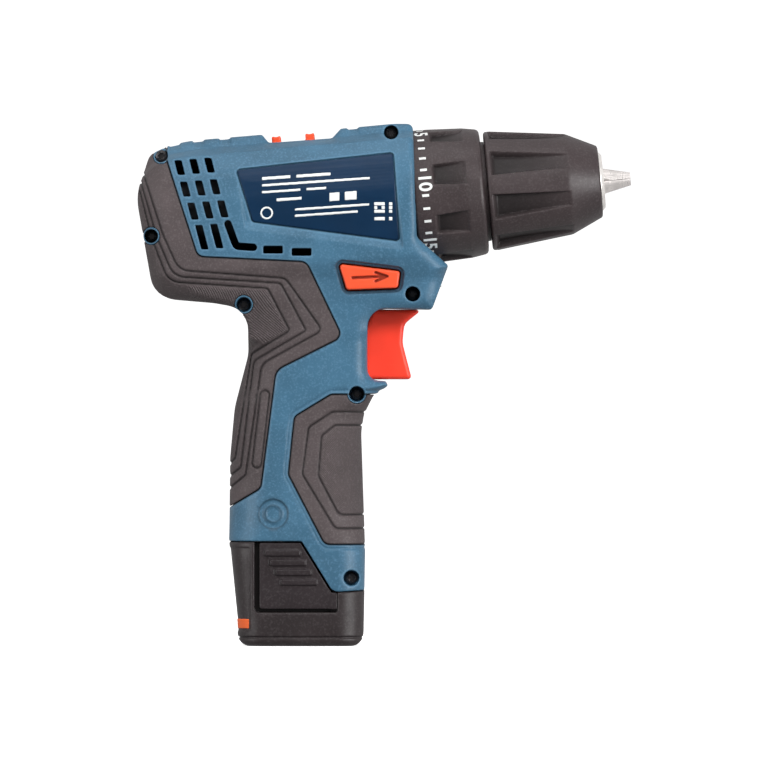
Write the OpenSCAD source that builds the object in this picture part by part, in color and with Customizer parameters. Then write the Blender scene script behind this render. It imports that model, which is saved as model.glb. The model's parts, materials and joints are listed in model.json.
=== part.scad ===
// Compact two-speed cordless drill with a push-in stick battery.
// Z is up and X runs forward to the chuck. The origin is the centre of the battery's base.
// The working axis tilts nose-up, and everything on it is placed by its distance s along it.

/* [Tool axis] */
// Height of the tool axis above the base, at the origin
axis_height = 153.5; // [150:0.5:158]
// Nose-up tilt of the tool axis
axis_tilt = 5; // [4:0.5:6]

/* [Housing] */
// Radius of the round head
head_r = 26; // [25.5:0.1:27]
// Half width of the neck between head and handle
neck_half_w = 21.5; // [20:0.5:23]
// Half width of the handle
handle_half_w = 21; // [20.8:0.1:23]
// Half width of the battery base
foot_half_w = 23; // [22.5:0.1:24]
// Least wall of the housing
wall = 2.6; // [2.2:0.1:3]
// Thickness of the rubber layer
rubber_t = 1.2; // [0.8:0.1:1.5]
// Radius of the bay round the motor and the gearbox
bay_r = 22.2; // [22:0.1:22.6]

/* [Motor] */
// Radius of the motor can
motor_r = 17.9; // [17:0.1:18]
// Radius of the armature
armature_r = 13.2; // [12:0.1:13.3]
// Radius of the motor shaft
shaft_r = 1.585; // [1.5:0.005:1.6]

/* [Gearbox] */
// Inner radius of the gear case
case_bore_r = 17.6; // [17.5:0.1:18]
// Outer radius of the gear case
case_r = 19.4; // [19.2:0.1:19.5]
// Module of the first and third stages
coarse_module = 0.8; // [0.8:0.1:0.8]
// Module of the second stage
fine_module = 0.7; // [0.7:0.1:0.7]
// Face width of the planets
planet_w = 5; // [4.5:0.1:5.2]
// Travel of the speed selector
shift_travel = 4; // [3:0.5:4]
// Gap left beside each gear tooth flank
tooth_play = 0.05; // [0.04:0.01:0.06]

/* [Spindle and chuck] */
// Radius of the output spindle
spindle_r = 5; // [4.5:0.1:5]
// Radius of one chuck jaw
jaw_r = 3.3; // [3.2:0.05:3.4]
// Length of one chuck jaw
jaw_len = 30; // [28:0.5:30]
// Angle of the jaws to the tool axis
jaw_angle = 15; // [15:1:15]
// Radius left between the closed jaws
jaw_grip_r = 0.5; // [0.4:0.1:0.6]

/* [Controls] */
// Travel of the trigger
trigger_travel = 6; // [4:0.5:6]
// Half width of the trigger
trigger_half_w = 8.4; // [7.5:0.1:8.6]
// Half length of the direction lever across the tool
lever_half_l = 24.2; // [23.5:0.1:24.5]

/* [Battery] */
// Radius of one cell
cell_r = 9.1; // [9:0.05:9.15]
// Length of one cell
cell_len = 64.5; // [64:0.1:65]
// Top of the battery's upright stick
stick_top = 78; // [77:0.5:79]

/* [Hidden] */

$fn = 64;
big = 90;             // reach of a cut that has to pass right through the tool
gap = 0.3;            // clearance between bodies that move past each other
fit = 0.04;           // radial clearance of a running fit

// Side outline of the whole tool as corners [x, z, rounding], anticlockwise from the base's front
outline = [
  [22, 0, 4.5], [22.6, 33, 20], [21.2, 75, 20], [22.2, 81, 4], [25.4, 87.4, 3], [30.7, 91, 0.8],
  [29.8, 92.7, 0.4], [23.3, 93, 1], [23.3, 118.2, 4], [46, 117.6, 1.5], [51.7, 133, 1.2],
  [40.6, 142.8, 3], [38.2, 182.9, 2.2], [32.4, 182.9, 1], [14, 181.1, 1.2], [10.9, 177.7, 1.2],
  [-11.2, 176.1, 1.2], [-13.6, 179, 1.2], [-46.5, 176.2, 6], [-53, 172.6, 5], [-57.7, 157.5, 20],
  [-51.4, 121.7, 6.5], [-31, 120, 8], [-18.3, 117.8, 9], [-18.4, 102, 15], [-23.2, 83.5, 30],
  [-24.9, 66, 30], [-25.2, 37, 6], [-22.3, 8, 20], [-22, 0, 4.5]
];
// Where the battery parts from the housing
parting = [[-40, -5], [40, -5], [40, 19.6], [24, 19.6], [11.2, 18.9], [0.3, 36.6], [-40, 36.6]];
// Outlines of the rubber: the rear of the head and handle, and the pad on the handle's front
rear_rubber = [
  [-47, 190, 0], [-47, 170.5, 3], [-35.8, 136, 3], [2, 134.2, 3.5], [14.6, 108, 3],
  [-8.6, 96.4, 5], [-13.9, 55.2, 3], [-24.9, 48.6, 1], [-60, 48.6, 0], [-60, 190, 0]
];
front_rubber = [
  [40, 35.6, 0], [40, 88, 0], [10.6, 88, 3], [-2.2, 80.2, 3], [-4.3, 60, 3], [8.4, 35.6, 3]
];
// Rooms under the motor bay, round the switch and in the chin: x from, x to, z from, z to, half width
rooms = [[-14, 18, 116, 140, 13], [-15, 19, 79, 120, 16], [17, 46, 120.5, 131.5, 14]];
// Room for the speed selector's slide under the top of the head: [x, half width, height over the axis]
selector_room = [[-16, 17], 8, [19.8, 22.5]];
selector_opening = [[-11.5, 11.5], 7];
// Side panel on the head, sunk flat
label_area = [
  [-22.5, 166.3, 1.2], [-16.8, 148.1, 1.2], [34.6, 141.4, 1.2], [32.3, 172.3, 1.2]
];
label_half_w = 25.2;
// Cooling slots: rows of [x, z, height, how many], each leaning forward towards its foot
vent_rows = [[-42.2, 167.1, 5.1, 3], [-40.2, 159.5, 5.1, 3], [-37.5, 151.8, 5.8, 3], [-34.4, 142.7, 8.4, 2]];
vent_pitch = 5.2;
vent_w = 2.3;
vent_lean = 0.26;
low_vents = [[-18.8, 139.2], [-9.6, 138.4], [0.35, 137.6]];
low_vent_size = [6.8, 2.6];

// Housing screws: [x, z, y of the head's top, radius of the hole over it]
screws = [
  [-48.8, 171.4, -10, 2.3], [-52.1, 143.2, -14, 2.4], [-19.8, 119.3, -16.5, 2.6],
  [31.6, 179.6, -8, 2.5], [39.1, 123, -14, 2.6], [19.6, 88.1, -15, 2.7], [17.7, 23.9, -17.5, 2.7]
];
screw_head = [2.1, 1.6];       // radius and height of a screw head
screw_shank_r = 1.35;
screw_end = 9;                 // y where each screw ends in the left half
boss_wall = 0.5;               // wall round the hole over each screw
boss_end = 12;                 // y where the bosses of the left half end

// Planetary stages: teeth of the sun, the planets and the ring
coarse_teeth = [15, 12, 39];
fine_teeth = [16, 14, 44];
pressure_angle = 25;
addendum = 0.8;                // in modules
dedendum = 1.05;               // in modules
planet_pin_r = 1.6;
carrier_r = 14.2;
carrier_t = 2;
first_s = 0;                   // rear face of the first planets
first_disc_s = first_s + planet_w + 0.4;
second_s = first_disc_s + carrier_t + 0.6;
second_disc_s = second_s + planet_w + 0.6;
third_s = second_disc_s + carrier_t + 3;
third_disc_s = third_s + planet_w + 0.8;
spindle_disc_t = 2.6;
shift_ring_s = second_s - 0.2;
shift_ring_w = 6.2;
fork_s = shift_ring_s + 1.2;   // plane of the shift fork
fork_wire_r = 0.7;
fork_arc_r = 20.6;
fork_groove_r = 16.75;
case_wall_s = 27.4;            // front wall of the gear case
case_wall_t = 2.6;
neck_r = 8.5;
neck_end = 56;
bearing_r = 7;
bearing_w = 6;

// Motor stations along the axis
can_rear = -45;
can_front = -3.5;
can_wall = 1;
plate_rear = -3.5;
plate_t = 1.5;
cap_rear = -49.5;
shaft_rear = -52;
core_rear = -36;
core_front = -13;

// Clutch
collar_rear = 39.9;
collar_front = 63.8;
collar_rear_r = 23.5;
collar_front_r = 21.9;
collar_hub_r = 17.4;           // the collar's short hub that runs up to the chuck
collar_hub_end = 65.3;
collar_bore_r = 19.6;
skirt_end = 42;
pin_circle_r = 16.1;
clutch_pins = 6;
nut_s = 50.5;
nut_w = 4;
nut_r = 17.5;
key_w = 5;
spring_r = 12;
spring_wire_r = 1.1;
spring_rear = 32.3;
spring_front = 46.7;
spring_turns = 4;

// Chuck stations along the axis
chuck_rear = 65.8;
chuck_nose = 106.5;
sleeve_front = 105.3;
nut_groove = [86, 91];
chuck_nut_r = 16.9;
jaw_tip = 116;                 // front end of the closed jaws
jaw_cross = 116.5;             // where the jaws' own axes meet the tool axis
grips = 8;                     // grip flutes round the sleeve and the collar

// Controls
trigger_outline = [
  [23.5, 96.5, 1], [25.4, 93.2, 2], [38.9, 93.2, 1.2], [35.6, 106, 6], [36.2, 112.6, 4],
  [41.8, 117.1, 0.6], [40.4, 117.7, 0.2], [28.8, 117.7, 3], [23.5, 110, 4]
];
trigger_window_z = [92.9, 118.1];
lever_outline = [[13.3, 133.5, 1], [16.1, 124.4, 1], [33.9, 125.1, 1], [34.7, 130.9, 1]];
stem_z = 106;                  // height of the trigger's stem
stem_r = 2.5;
switch_x = [-13, 15];
switch_z = [90, 117];
switch_half_w = 8.5;
led_at = [46.5, 0, 127.6];
led_tilt = 12;
led_r = 2.5;

// Battery
cells = [[-11.5, 9.15], [-11.5, -9.15], [4.35, 0]];
stick_wall = 0.75;
stick_r = cell_r + stick_wall;
stick_bottom = 3;
latch_outline = [
  [-14.4, 36.2, 0.6], [-14.4, 13.1, 1], [12.6, 13.1, 0.6], [12.6, 18.7, 0.5], [10.8, 18.7, 0.5],
  [0, 36.2, 0.6]
];
latch_window = [
  [-16.1, 40, 0], [-16.1, 11.3, 1.2], [12.9, 11.3, 0.3], [12.9, 19.5, 0], [10.6, 40, 0]
];
latch_inner_y = 20.9;
latch_room_y = 19.4;
latch_ridges = 4;
latch_pivot = [11.6, 21.6, 13.3];  // foot of the round bead that each latch rocks on
latch_pivot_r = 1;
latch_pivot_len = 5.2;

// ---- Outlines ----

// Point i of a closed list, counted round its ends
function at(list, i) = list[(i + len(list)) % len(list)];
function flat(c) = [c[0], c[1]];
function unit(v) = v / norm(v);

// The arc that rounds corner b between its neighbours a and c
function corner_arc(a, b, c, r, steps = 5) =
  r <= 0 ? [b] :
  let(
    u = unit(a - b),
    v = unit(c - b),
    half = acos(u * v) / 2,
    centre = b + unit(u + v) * r / sin(half),
    p = b + u * r / tan(half) - centre,
    q = b + v * r / tan(half) - centre,
    start = atan2(p[1], p[0]),
    turn = (atan2(q[1], q[0]) - start + 540) % 360 - 180
  )
  [for (k = [0:steps]) centre + r * [cos(start + turn * k / steps), sin(start + turn * k / steps)]];

// A list of corners [x, z, rounding] as the points of its rounded outline
function rounded(c) = [
  for (i = [0:len(c) - 1]) each corner_arc(flat(at(c, i - 1)), flat(c[i]), flat(at(c, i + 1)), c[i][2])
];

// The same corners moved inwards by d, for an outline that runs anticlockwise
function inset(c, d) = [
  for (i = [0:len(c) - 1])
    let(
      e1 = unit(flat(c[i]) - flat(at(c, i - 1))),
      e2 = unit(flat(at(c, i + 1)) - flat(c[i])),
      n1 = [-e1[1], e1[0]],
      n2 = [-e2[1], e2[0]],
      p = flat(c[i]) + d * (n1 + n2) / (1 + n1 * n2),
      convex = cross(e1, e2) > 0
    )
    [p[0], p[1], max(0, c[i][2] + (convex ? -d : d))]
];

// A rounded box seen from above, as points of a superellipse
function plan(cx, half_l, half_w, power, steps = 48) = [
  for (k = [0:steps - 1])
    let(a = 360 * k / steps, c = cos(a), s = sin(a))
    [cx + half_l * sign(c) * pow(abs(c), 2 / power), half_w * sign(s) * pow(abs(s), 2 / power)]
];

// ---- Placing ----

// Children drawn along +Z are laid along the tool axis, starting s along it
module on_axis(s = 0) {
  translate([0, 0, axis_height]) rotate([0, 90 - axis_tilt, 0]) translate([0, 0, s]) children();
}

// Children drawn in the tool axis's own frame, where X is the axis and Z is up from it
module in_tool_frame() {
  translate([0, 0, axis_height]) rotate([0, -axis_tilt, 0]) children();
}

// A side outline pushed out across the tool, by half_w each way
module across(points, half_w = big) {
  rotate([90, 0, 0]) linear_extrude(2 * half_w, center = true) polygon(points);
}

// The half of space on one side of the parting plane: side is -1 for the right, 1 for the left
module side_space(side) {
  translate([-big, side > 0 ? 0 : -big, -10]) cube([3 * big, big, 3 * big]);
}

module disc(s, r, t, bore = 0) {
  on_axis(s) difference() {
    cylinder(h = t, r = r);
    if (bore > 0) translate([0, 0, -1]) cylinder(h = t + 2, r = bore);
  }
}

// ---- Housing ----

// The tool's outer body moved inwards by d
module outer_body(d = 0) {
  intersection() {
    across(rounded(inset(outline, d)));
    union() {
      on_axis(-62) cylinder(h = 120, r = head_r - d);
      translate([0, 0, 108]) linear_extrude(42) polygon(plan(-2, 54, neck_half_w - d, 2.8));
      translate([0, 0, 40]) linear_extrude(80) polygon(plan(2, 33, handle_half_w - d, 3));
      translate([0, 0, -2]) linear_extrude(48) polygon(plan(-1.5, 29, foot_half_w - d, 3.6));
    }
  }
}

module stick_shape(r) {
  for (c = cells) translate(c) circle(r);
  polygon([
    cells[0] + [-r, 0], cells[1] + [-r, 0], cells[1] + [0, -r], cells[2] + [0.866 * r, -0.5 * r],
    cells[2] + [0.866 * r, 0.5 * r], cells[0] + [0, r]
  ]);
}

// The room inside the housing for the motor, gears, switch and battery
module inner_room() {
  intersection() {
    across(rounded(inset(outline, wall)));
    union() {
      on_axis(-54) cylinder(h = 90, r = bay_r);
      for (room = rooms)
        translate([room[0], -room[4], room[2]]) cube([room[1] - room[0], 2 * room[4], room[3] - room[2]]);
    }
  }
  translate([0, 0, -5]) linear_extrude(stick_top + 10) stick_shape(stick_r + gap);
  on_axis(30) cylinder(h = 20, r = case_r + gap);
  in_tool_frame() translate([selector_room[0][0], -selector_room[1], selector_room[2][0]])
    cube([
      selector_room[0][1] - selector_room[0][0],
      2 * selector_room[1],
      selector_room[2][1] - selector_room[2][0]
    ]);
}

module selector_window() {
  in_tool_frame() translate([selector_opening[0][0], -selector_opening[1], selector_room[2][0]])
    cube([selector_opening[0][1] - selector_opening[0][0], 2 * selector_opening[1], 10]);
}

module trigger_window() {
  rear = trigger_outline[0][0] - trigger_travel - 1;
  translate([rear, -trigger_half_w - gap, trigger_window_z[0]])
    cube([20, 2 * (trigger_half_w + gap), trigger_window_z[1] - trigger_window_z[0]]);
}

module vent(x, z, w, h, lean) {
  across([
    for (p = [[-w, -h], [w, -h], [w, h], [-w, h]]) [x + p[0] / 2 - lean * p[1] / 2, z + p[1] / 2]
  ]);
}

module vents() {
  difference() {
    union() {
      for (row = vent_rows)
        for (k = [0:row[3] - 1])
          vent(row[0] + vent_pitch * k, row[1] + 0.4 * k, vent_w, row[2], vent_lean);
      for (v = low_vents) vent(v[0], v[1], low_vent_size[0], low_vent_size[1], 0);
    }
    on_axis(-60) cylinder(h = 120, r = bay_r - 0.2);
  }
}

module label_recess() {
  difference() {
    across(rounded(label_area));
    across(rounded(label_area), label_half_w);
  }
}

// Rings that grip the motor and the gear case, open below for the leads
module bay_ribs() {
  difference() {
    union() {
      for (s = [-40, -14]) disc(s, bay_r + 0.5, 2, motor_r);
      for (s = [2, 24]) disc(s, bay_r + 0.5, 2, case_r);
    }
    in_tool_frame() translate([-60, -9, -30]) cube([60, 18, 30]);
    in_tool_frame() translate([-16, -8, 18]) cube([33, 16, 8]);
  }
}

module screw_bosses() {
  intersection() {
    outer_body(rubber_t);
    for (p = screws)
      translate([p[0], boss_end, p[1]]) rotate([90, 0, 0])
        cylinder(h = boss_end + head_r, r = p[3] + boss_wall);
  }
}

module screw_holes() {
  for (p = screws) {
    translate([p[0], screw_end + 0.5, p[1]]) rotate([90, 0, 0]) cylinder(h = 40, r = screw_shank_r);
    translate([p[0], p[2] + screw_head[1], p[1]]) rotate([90, 0, 0]) cylinder(h = 30, r = p[3]);
  }
}

module housing_cuts() {
  translate([0, 0, gap]) across(parting);
  selector_window();
  trigger_window();
  vents();
  label_recess();
  on_axis(collar_rear - gap) cylinder(h = 60, r = collar_rear_r + gap);
  across(rounded(inset(lever_outline, -gap)));
  translate(led_at) rotate([0, 90 - led_tilt, 0]) cylinder(h = 20, r = led_r + 0.1, center = true);
}

module rubber_areas() {
  across(rounded(rear_rubber));
  across(rounded(front_rubber));
}

module housing_half(side) {
  difference() {
    union() {
      difference() {
        outer_body();
        difference() {
          rubber_areas();
          outer_body(rubber_t);
        }
        inner_room();
      }
      bay_ribs();
      screw_bosses();
    }
    housing_cuts();
    screw_holes();
    side_space(-side);
  }
}

module overmould_half(side) {
  difference() {
    intersection() {
      outer_body();
      rubber_areas();
    }
    outer_body(rubber_t);
    housing_cuts();
    screw_holes();
    side_space(-side);
  }
}

module right_housing() {
  color("#3f6390") housing_half(-1);
}

module left_housing() {
  color("#3f6390") housing_half(1);
}

module right_overmould() {
  color("#37363a") overmould_half(-1);
}

module left_overmould() {
  color("#37363a") overmould_half(1);
}

module housing_screws() {
  color("#2b2b2e") for (p = screws) {
    translate([p[0], screw_end, p[1]]) rotate([90, 0, 0]) difference() {
      union() {
        cylinder(h = screw_end - p[2], r = screw_shank_r);
        translate([0, 0, screw_end - p[2] - screw_head[1]]) cylinder(h = screw_head[1], r = screw_head[0]);
      }
      translate([0, 0, screw_end - p[2] - 1]) cylinder(h = 2, r = 1.1, $fn = 6);
    }
  }
}

// ---- Gears ----

// How far an involute flank has turned at radius r, in degrees
function involute_turn(base_r, r) =
  let(a = acos(min(1, base_r / r))) tan(a) * 180 / PI - a;

// Half the angle that a tooth covers at radius r; play is the gap left beside its flank
function half_tooth(teeth, pitch_r, r, play) =
  let(base_r = pitch_r * cos(pressure_angle))
  90 / teeth - play / pitch_r * 180 / PI
    + involute_turn(base_r, pitch_r) - involute_turn(base_r, max(r, base_r));

// Points of a gear outline from its inner radius to its outer radius
function gear_points(teeth, pitch_r, inner_r, outer_r, play) =
  let(
    base_r = pitch_r * cos(pressure_angle),
    radii = [inner_r, max(inner_r + 0.05, base_r), pitch_r, outer_r],
    halves = [for (r = radii) half_tooth(teeth, pitch_r, r, play)]
  )
  [
    for (t = [0:teeth - 1], k = [0:7])
      let(j = k < 4 ? k : 7 - k, a = 360 * t / teeth + (k < 4 ? -1 : 1) * halves[j])
      radii[j] * [cos(a), sin(a)]
  ];

module spur(teeth, m, w, bore) {
  pitch_r = m * teeth / 2;
  difference() {
    linear_extrude(w)
      polygon(gear_points(teeth, pitch_r, pitch_r - dedendum * m, pitch_r + addendum * m, tooth_play));
    translate([0, 0, -1]) cylinder(h = w + 2, r = bore);
  }
}

// A ring gear with one tooth centred on the angle 0
module ring_gear(teeth, m, w, r) {
  pitch_r = m * teeth / 2;
  difference() {
    cylinder(h = w, r = r);
    translate([0, 0, -1]) rotate(180 / teeth) linear_extrude(w + 2)
      polygon(gear_points(teeth, pitch_r, pitch_r - addendum * m, pitch_r + dedendum * m, -tooth_play));
  }
}

// Distance from the tool axis to the planets
function planet_orbit(teeth, m) = m * (teeth[0] + teeth[1]) / 2;

// Places planet i of three and turns it into mesh with a sun that has a tooth at the angle 0
module planet(i, teeth, m, s) {
  place = 120 * i;
  phase = place + 180 - (180 - place * teeth[0]) / teeth[1];
  on_axis(s) rotate(place) translate([planet_orbit(teeth, m), 0, 0]) rotate(phase - place)
    spur(teeth[1], m, planet_w, planet_pin_r + fit);
}

// A carrier's disc with the three pins that its planets run on, reaching back from it
module carrier(teeth, m, s, disc_s, t, bore) {
  disc(disc_s, carrier_r, t, bore);
  on_axis(s + 0.2) for (i = [0:2])
    rotate(120 * i) translate([planet_orbit(teeth, m), 0, 0]) cylinder(h = disc_s - s, r = planet_pin_r);
}

module motor_pinion() {
  color("#b5a26a") on_axis(first_s - 0.5) spur(coarse_teeth[0], coarse_module, planet_w + 0.5, shaft_r);
}

module first_planet(i) {
  color("#9a9ca0") planet(i, coarse_teeth, coarse_module, first_s);
}

module second_planet(i) {
  color("#9a9ca0") planet(i, fine_teeth, fine_module, second_s);
}

module third_planet(i) {
  color("#9a9ca0") planet(i, coarse_teeth, coarse_module, third_s);
}

module first_carrier() {
  sun_w = second_s + planet_w + 0.2 - first_disc_s - carrier_t;
  color("#8d8f93") {
    carrier(coarse_teeth, coarse_module, first_s, first_disc_s, carrier_t, 0);
    on_axis(first_disc_s + carrier_t) spur(fine_teeth[0], fine_module, sun_w, 0.6);
  }
}

module second_carrier() {
  sun_w = third_s + planet_w + 0.2 - second_disc_s - carrier_t;
  color("#8d8f93") {
    carrier(fine_teeth, fine_module, second_s, second_disc_s, carrier_t, 0);
    on_axis(second_disc_s + carrier_t) spur(coarse_teeth[0], coarse_module, sun_w, 0.6);
  }
}

module first_ring() {
  color("#77797d") on_axis(first_s - 0.3)
    ring_gear(coarse_teeth[2], coarse_module, planet_w + 0.6, case_bore_r);
}

module third_ring() {
  color("#77797d") {
    on_axis(third_s - 0.3) ring_gear(coarse_teeth[2], coarse_module, planet_w + 0.6, case_bore_r);
    on_axis(third_s + planet_w + 0.3) for (k = [0:clutch_pins - 1])
      rotate((k + 0.5) * 360 / clutch_pins) translate([pin_circle_r + 0.5, 0, 0]) cylinder(h = 1.2, r = 0.95);
  }
}

module shift_ring() {
  color("#77797d") on_axis(shift_ring_s) difference() {
    ring_gear(fine_teeth[2], fine_module, shift_ring_w, case_bore_r - gap);
    translate([0, 0, fork_s - shift_ring_s - 0.9]) difference() {
      cylinder(h = 1.8, r = case_bore_r);
      translate([0, 0, -1]) cylinder(h = 4, r = fork_groove_r);
    }
  }
}

module shift_fork() {
  color("#b8babd") on_axis(fork_s) {
    rotate(90) rotate_extrude(angle = 180) translate([fork_arc_r, 0]) circle(fork_wire_r);
    for (side = [-1, 1]) rotate([side * 90, 0, 0]) translate([0, 0, fork_groove_r + 0.15])
      cylinder(h = fork_arc_r - fork_groove_r - 0.15, r = fork_wire_r);
  }
}

module gear_selector() {
  color("#e2582a") in_tool_frame() {
    translate([-11, -7.6, 21.5]) cube([21.5, 15.2, 0.7]);
    translate([-8.1, -6.4, 22.1]) cube([15, 12.8, 1.2]);
    for (x = [-8.1, 3.7]) translate([x, -6.4, 23.2]) cube([3.2, 12.8, 2.4]);
    for (x = [fork_s - fork_wire_r - 1, fork_s + fork_wire_r + 0.05])
      translate([x, -3, 19.9]) cube([0.95, 6, 1.7]);
  }
}

// ---- Gear case and clutch ----

module gear_case() {
  color("#4c4d50") difference() {
    union() {
      disc(plate_rear + plate_t, case_r, case_wall_s + case_wall_t - plate_rear - plate_t, 0);
      on_axis(case_wall_s + case_wall_t) cylinder(h = neck_end - case_wall_s - case_wall_t, r = neck_r);
      disc(case_wall_s, case_r - 0.1, skirt_end - case_wall_s, case_r - 1.4);
    }
    on_axis(plate_rear + plate_t - 1) cylinder(h = case_wall_s - plate_rear - plate_t + 1, r = case_bore_r);
    on_axis(case_wall_s - 1) cylinder(h = neck_end, r = bearing_r - 1);
    on_axis(case_wall_s - 1) cylinder(h = bearing_w + 1, r = bearing_r);
    on_axis(neck_end - bearing_w) cylinder(h = bearing_w + 1, r = bearing_r);
    on_axis(case_wall_s - 1) for (k = [0:clutch_pins - 1])
      rotate(k * 360 / clutch_pins) translate([pin_circle_r, 0, 0])
        cylinder(h = case_wall_t + 2, r = 1.5 + fit);
    in_tool_frame() for (side = [-1, 1])
      translate([fork_s - 1, side * case_r - 3, -0.95]) cube([shift_travel + 2, 6, 1.9]);
  }
}

module bearings() {
  color("#c4c6c9") {
    disc(case_wall_s, bearing_r, bearing_w, spindle_r + fit);
    disc(neck_end - bearing_w, bearing_r, bearing_w, spindle_r + fit);
    disc(can_front - 2.5, 4.2, 5, shaft_r + fit);
    disc(cap_rear - 1, 3, 3, shaft_r + fit);
  }
}

module clutch_plate() {
  color("#8d8f93") {
    disc(case_wall_s + case_wall_t + 1, case_r - 1.7, 1.2, neck_r + 0.1);
    on_axis(third_s + planet_w + 0.4) for (k = [0:clutch_pins - 1])
      rotate(k * 360 / clutch_pins) translate([pin_circle_r, 0, 0])
        cylinder(h = case_wall_s + case_wall_t + 1.5 - third_s - planet_w - 0.4, r = 1.5);
  }
}

// A coil spring along +Z: rings of an eight-sided wire joined along a helix
module coil(r, wire_r, length, turns) {
  sides = 8;
  steps = 20 * turns;
  rings = [
    for (k = [0:steps])
      let(a = 360 * turns * k / steps, z = length * k / steps)
      for (j = [0:sides - 1])
        let(b = 360 * j / sides, d = r + wire_r * cos(b))
        [d * cos(a), d * sin(a), z + wire_r * sin(b)]
  ];
  walls = [
    for (k = [0:steps - 1], j = [0:sides - 1])
      let(n = (j + 1) % sides)
      [sides * k + j, sides * k + n, sides * (k + 1) + n, sides * (k + 1) + j]
  ];
  ends = [[for (j = [sides - 1:-1:0]) j], [for (j = [0:sides - 1]) sides * steps + j]];
  polyhedron(points = rings, faces = concat(walls, ends));
}

module clutch_spring() {
  color("#a9abae") on_axis(spring_rear + spring_wire_r)
    coil(spring_r, spring_wire_r, spring_front - spring_rear - 2 * spring_wire_r, spring_turns);
}

module clutch_nut() {
  color("#55565a") on_axis(nut_s) difference() {
    cylinder(h = nut_w, r = nut_r);
    translate([0, 0, -1]) cylinder(h = nut_w + 2, r = neck_r + 0.08);
    for (turn = [0, 180]) rotate(turn) translate([nut_r - 1.7, -key_w / 2 - 0.2, -1])
      cube([3, key_w + 0.4, nut_w + 2]);
  }
}

// Grip flutes along a sleeve whose radius is r at s and narrows by the angle taper
module flutes(s, length, r, taper, depth, cutter_r, phase) {
  on_axis(s) for (k = [0:grips - 1])
    rotate((k + phase) * 360 / grips) translate([r - depth + cutter_r, 0, 0]) rotate([0, -taper, 0])
      cylinder(h = length, r = cutter_r);
}

module clutch_collar() {
  color("#3b3b3e") {
    difference() {
      on_axis(collar_rear) rotate_extrude() polygon([
        [collar_bore_r, 0], [collar_rear_r - 0.6, 0], [collar_rear_r, 0.6], [collar_rear_r, 4.6],
        [collar_rear_r - 0.9, 5.6], [collar_front_r + 0.6, 19.5], [collar_front_r - 0.8, 22.4],
        [collar_front_r - 2.6, collar_front - collar_rear], [collar_hub_r, collar_front - collar_rear],
        [collar_hub_r, collar_hub_end - collar_rear], [8.2, collar_hub_end - collar_rear],
        [8.2, 20], [collar_bore_r - 2, 18.6], [collar_bore_r - 0.6, 16]
      ]);
      flutes(collar_rear + 6, 13, collar_rear_r - 0.9, 4, 1.3, 5, 0.6);
    }
    on_axis(44) for (turn = [0, 180])
      rotate(turn) translate([nut_r - 1.4, -key_w / 2, 0]) cube([4.2, key_w, 12]);
  }
}

// ---- Motor ----

module motor_can() {
  color("#8e9094") difference() {
    on_axis(can_rear) cylinder(h = can_front - can_rear, r = motor_r);
    on_axis(can_rear - 1) cylinder(h = can_front - can_rear - 0.5, r = motor_r - can_wall);
    on_axis(can_front - 3) cylinder(h = 5, r = 4.2);
  }
}

module motor_magnets() {
  color("#3a3a3c") on_axis(core_rear - 2) for (turn = [20, 200])
    rotate(turn) rotate_extrude(angle = 140) translate([armature_r + 0.5, 0])
      square([motor_r - can_wall - armature_r - 0.5, core_front - core_rear + 4]);
}

module motor_end_cap() {
  color("#2d2e31") difference() {
    union() {
      on_axis(cap_rear) cylinder(h = can_rear - cap_rear, r = motor_r);
      on_axis(can_rear) cylinder(h = 2, r = motor_r - can_wall);
    }
    on_axis(cap_rear + 2) cylinder(h = 10, r = motor_r - 3);
    on_axis(cap_rear - 1) cylinder(h = 4, r = 3);
  }
}

module motor_brushes() {
  color("#1f1f21") in_tool_frame() for (side = [-1, 1])
    translate([-46, side > 0 ? 5 : -14.7, -2]) cube([4, 9.7, 4]);
}

module motor_plate() {
  color("#9b9da1") disc(plate_rear, case_r, plate_t, 4.3);
}

module rotor_shaft() {
  color("#c9cbce") on_axis(shaft_rear) cylinder(h = first_s + planet_w - shaft_rear, r = shaft_r);
}

module armature() {
  color("#6f7175") on_axis(core_rear) difference() {
    cylinder(h = core_front - core_rear, r = armature_r);
    translate([0, 0, -1]) cylinder(h = core_front - core_rear + 2, r = shaft_r);
    for (k = [0:4]) rotate(72 * k) {
      translate([9, 0, -1]) cylinder(h = core_front - core_rear + 2, r = 2.6);
      translate([9, -0.9, -1]) cube([6, 1.8, core_front - core_rear + 2]);
    }
  }
}

module armature_windings() {
  color("#b4683a") for (s = [core_rear - 3, core_front]) disc(s, 11.8, 3, shaft_r);
  color("#b4683a") on_axis(core_rear) for (k = [0:4])
    rotate(72 * k) translate([9, 0, 0]) cylinder(h = core_front - core_rear, r = 2.3);
}

module commutator() {
  color("#b87333") disc(can_rear - 1.5, 4.8, 5.4, shaft_r);
}

module rotor_fan() {
  color("#2d2e31") {
    disc(core_front + 3.2, 5, 3.5, shaft_r);
    on_axis(core_front + 3.2) for (k = [0:8])
      rotate(40 * k) translate([4, -0.5, 0]) cube([11, 1, 3]);
  }
}

// ---- Spindle and chuck ----

module spindle() {
  color("#8d8f93") difference() {
    union() {
      carrier(coarse_teeth, coarse_module, third_s, third_disc_s, spindle_disc_t, 0);
      on_axis(third_disc_s + 1) cylinder(h = chuck_rear - third_disc_s, r = spindle_r);
      on_axis(chuck_rear) cylinder(h = 11, r = 6.3);
    }
    on_axis(chuck_rear - 4) cylinder(h = 20, r = 2.5);
  }
}

module chuck_screw() {
  color("#2b2b2e") difference() {
    union() {
      on_axis(chuck_rear - 3) cylinder(h = 14.2, r = 2.5);
      disc(chuck_rear + 11, 4.6, 2, 0);
    }
    on_axis(chuck_rear + 11.8) cylinder(h = 2, r = 2.2, $fn = 6);
  }
}

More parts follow.
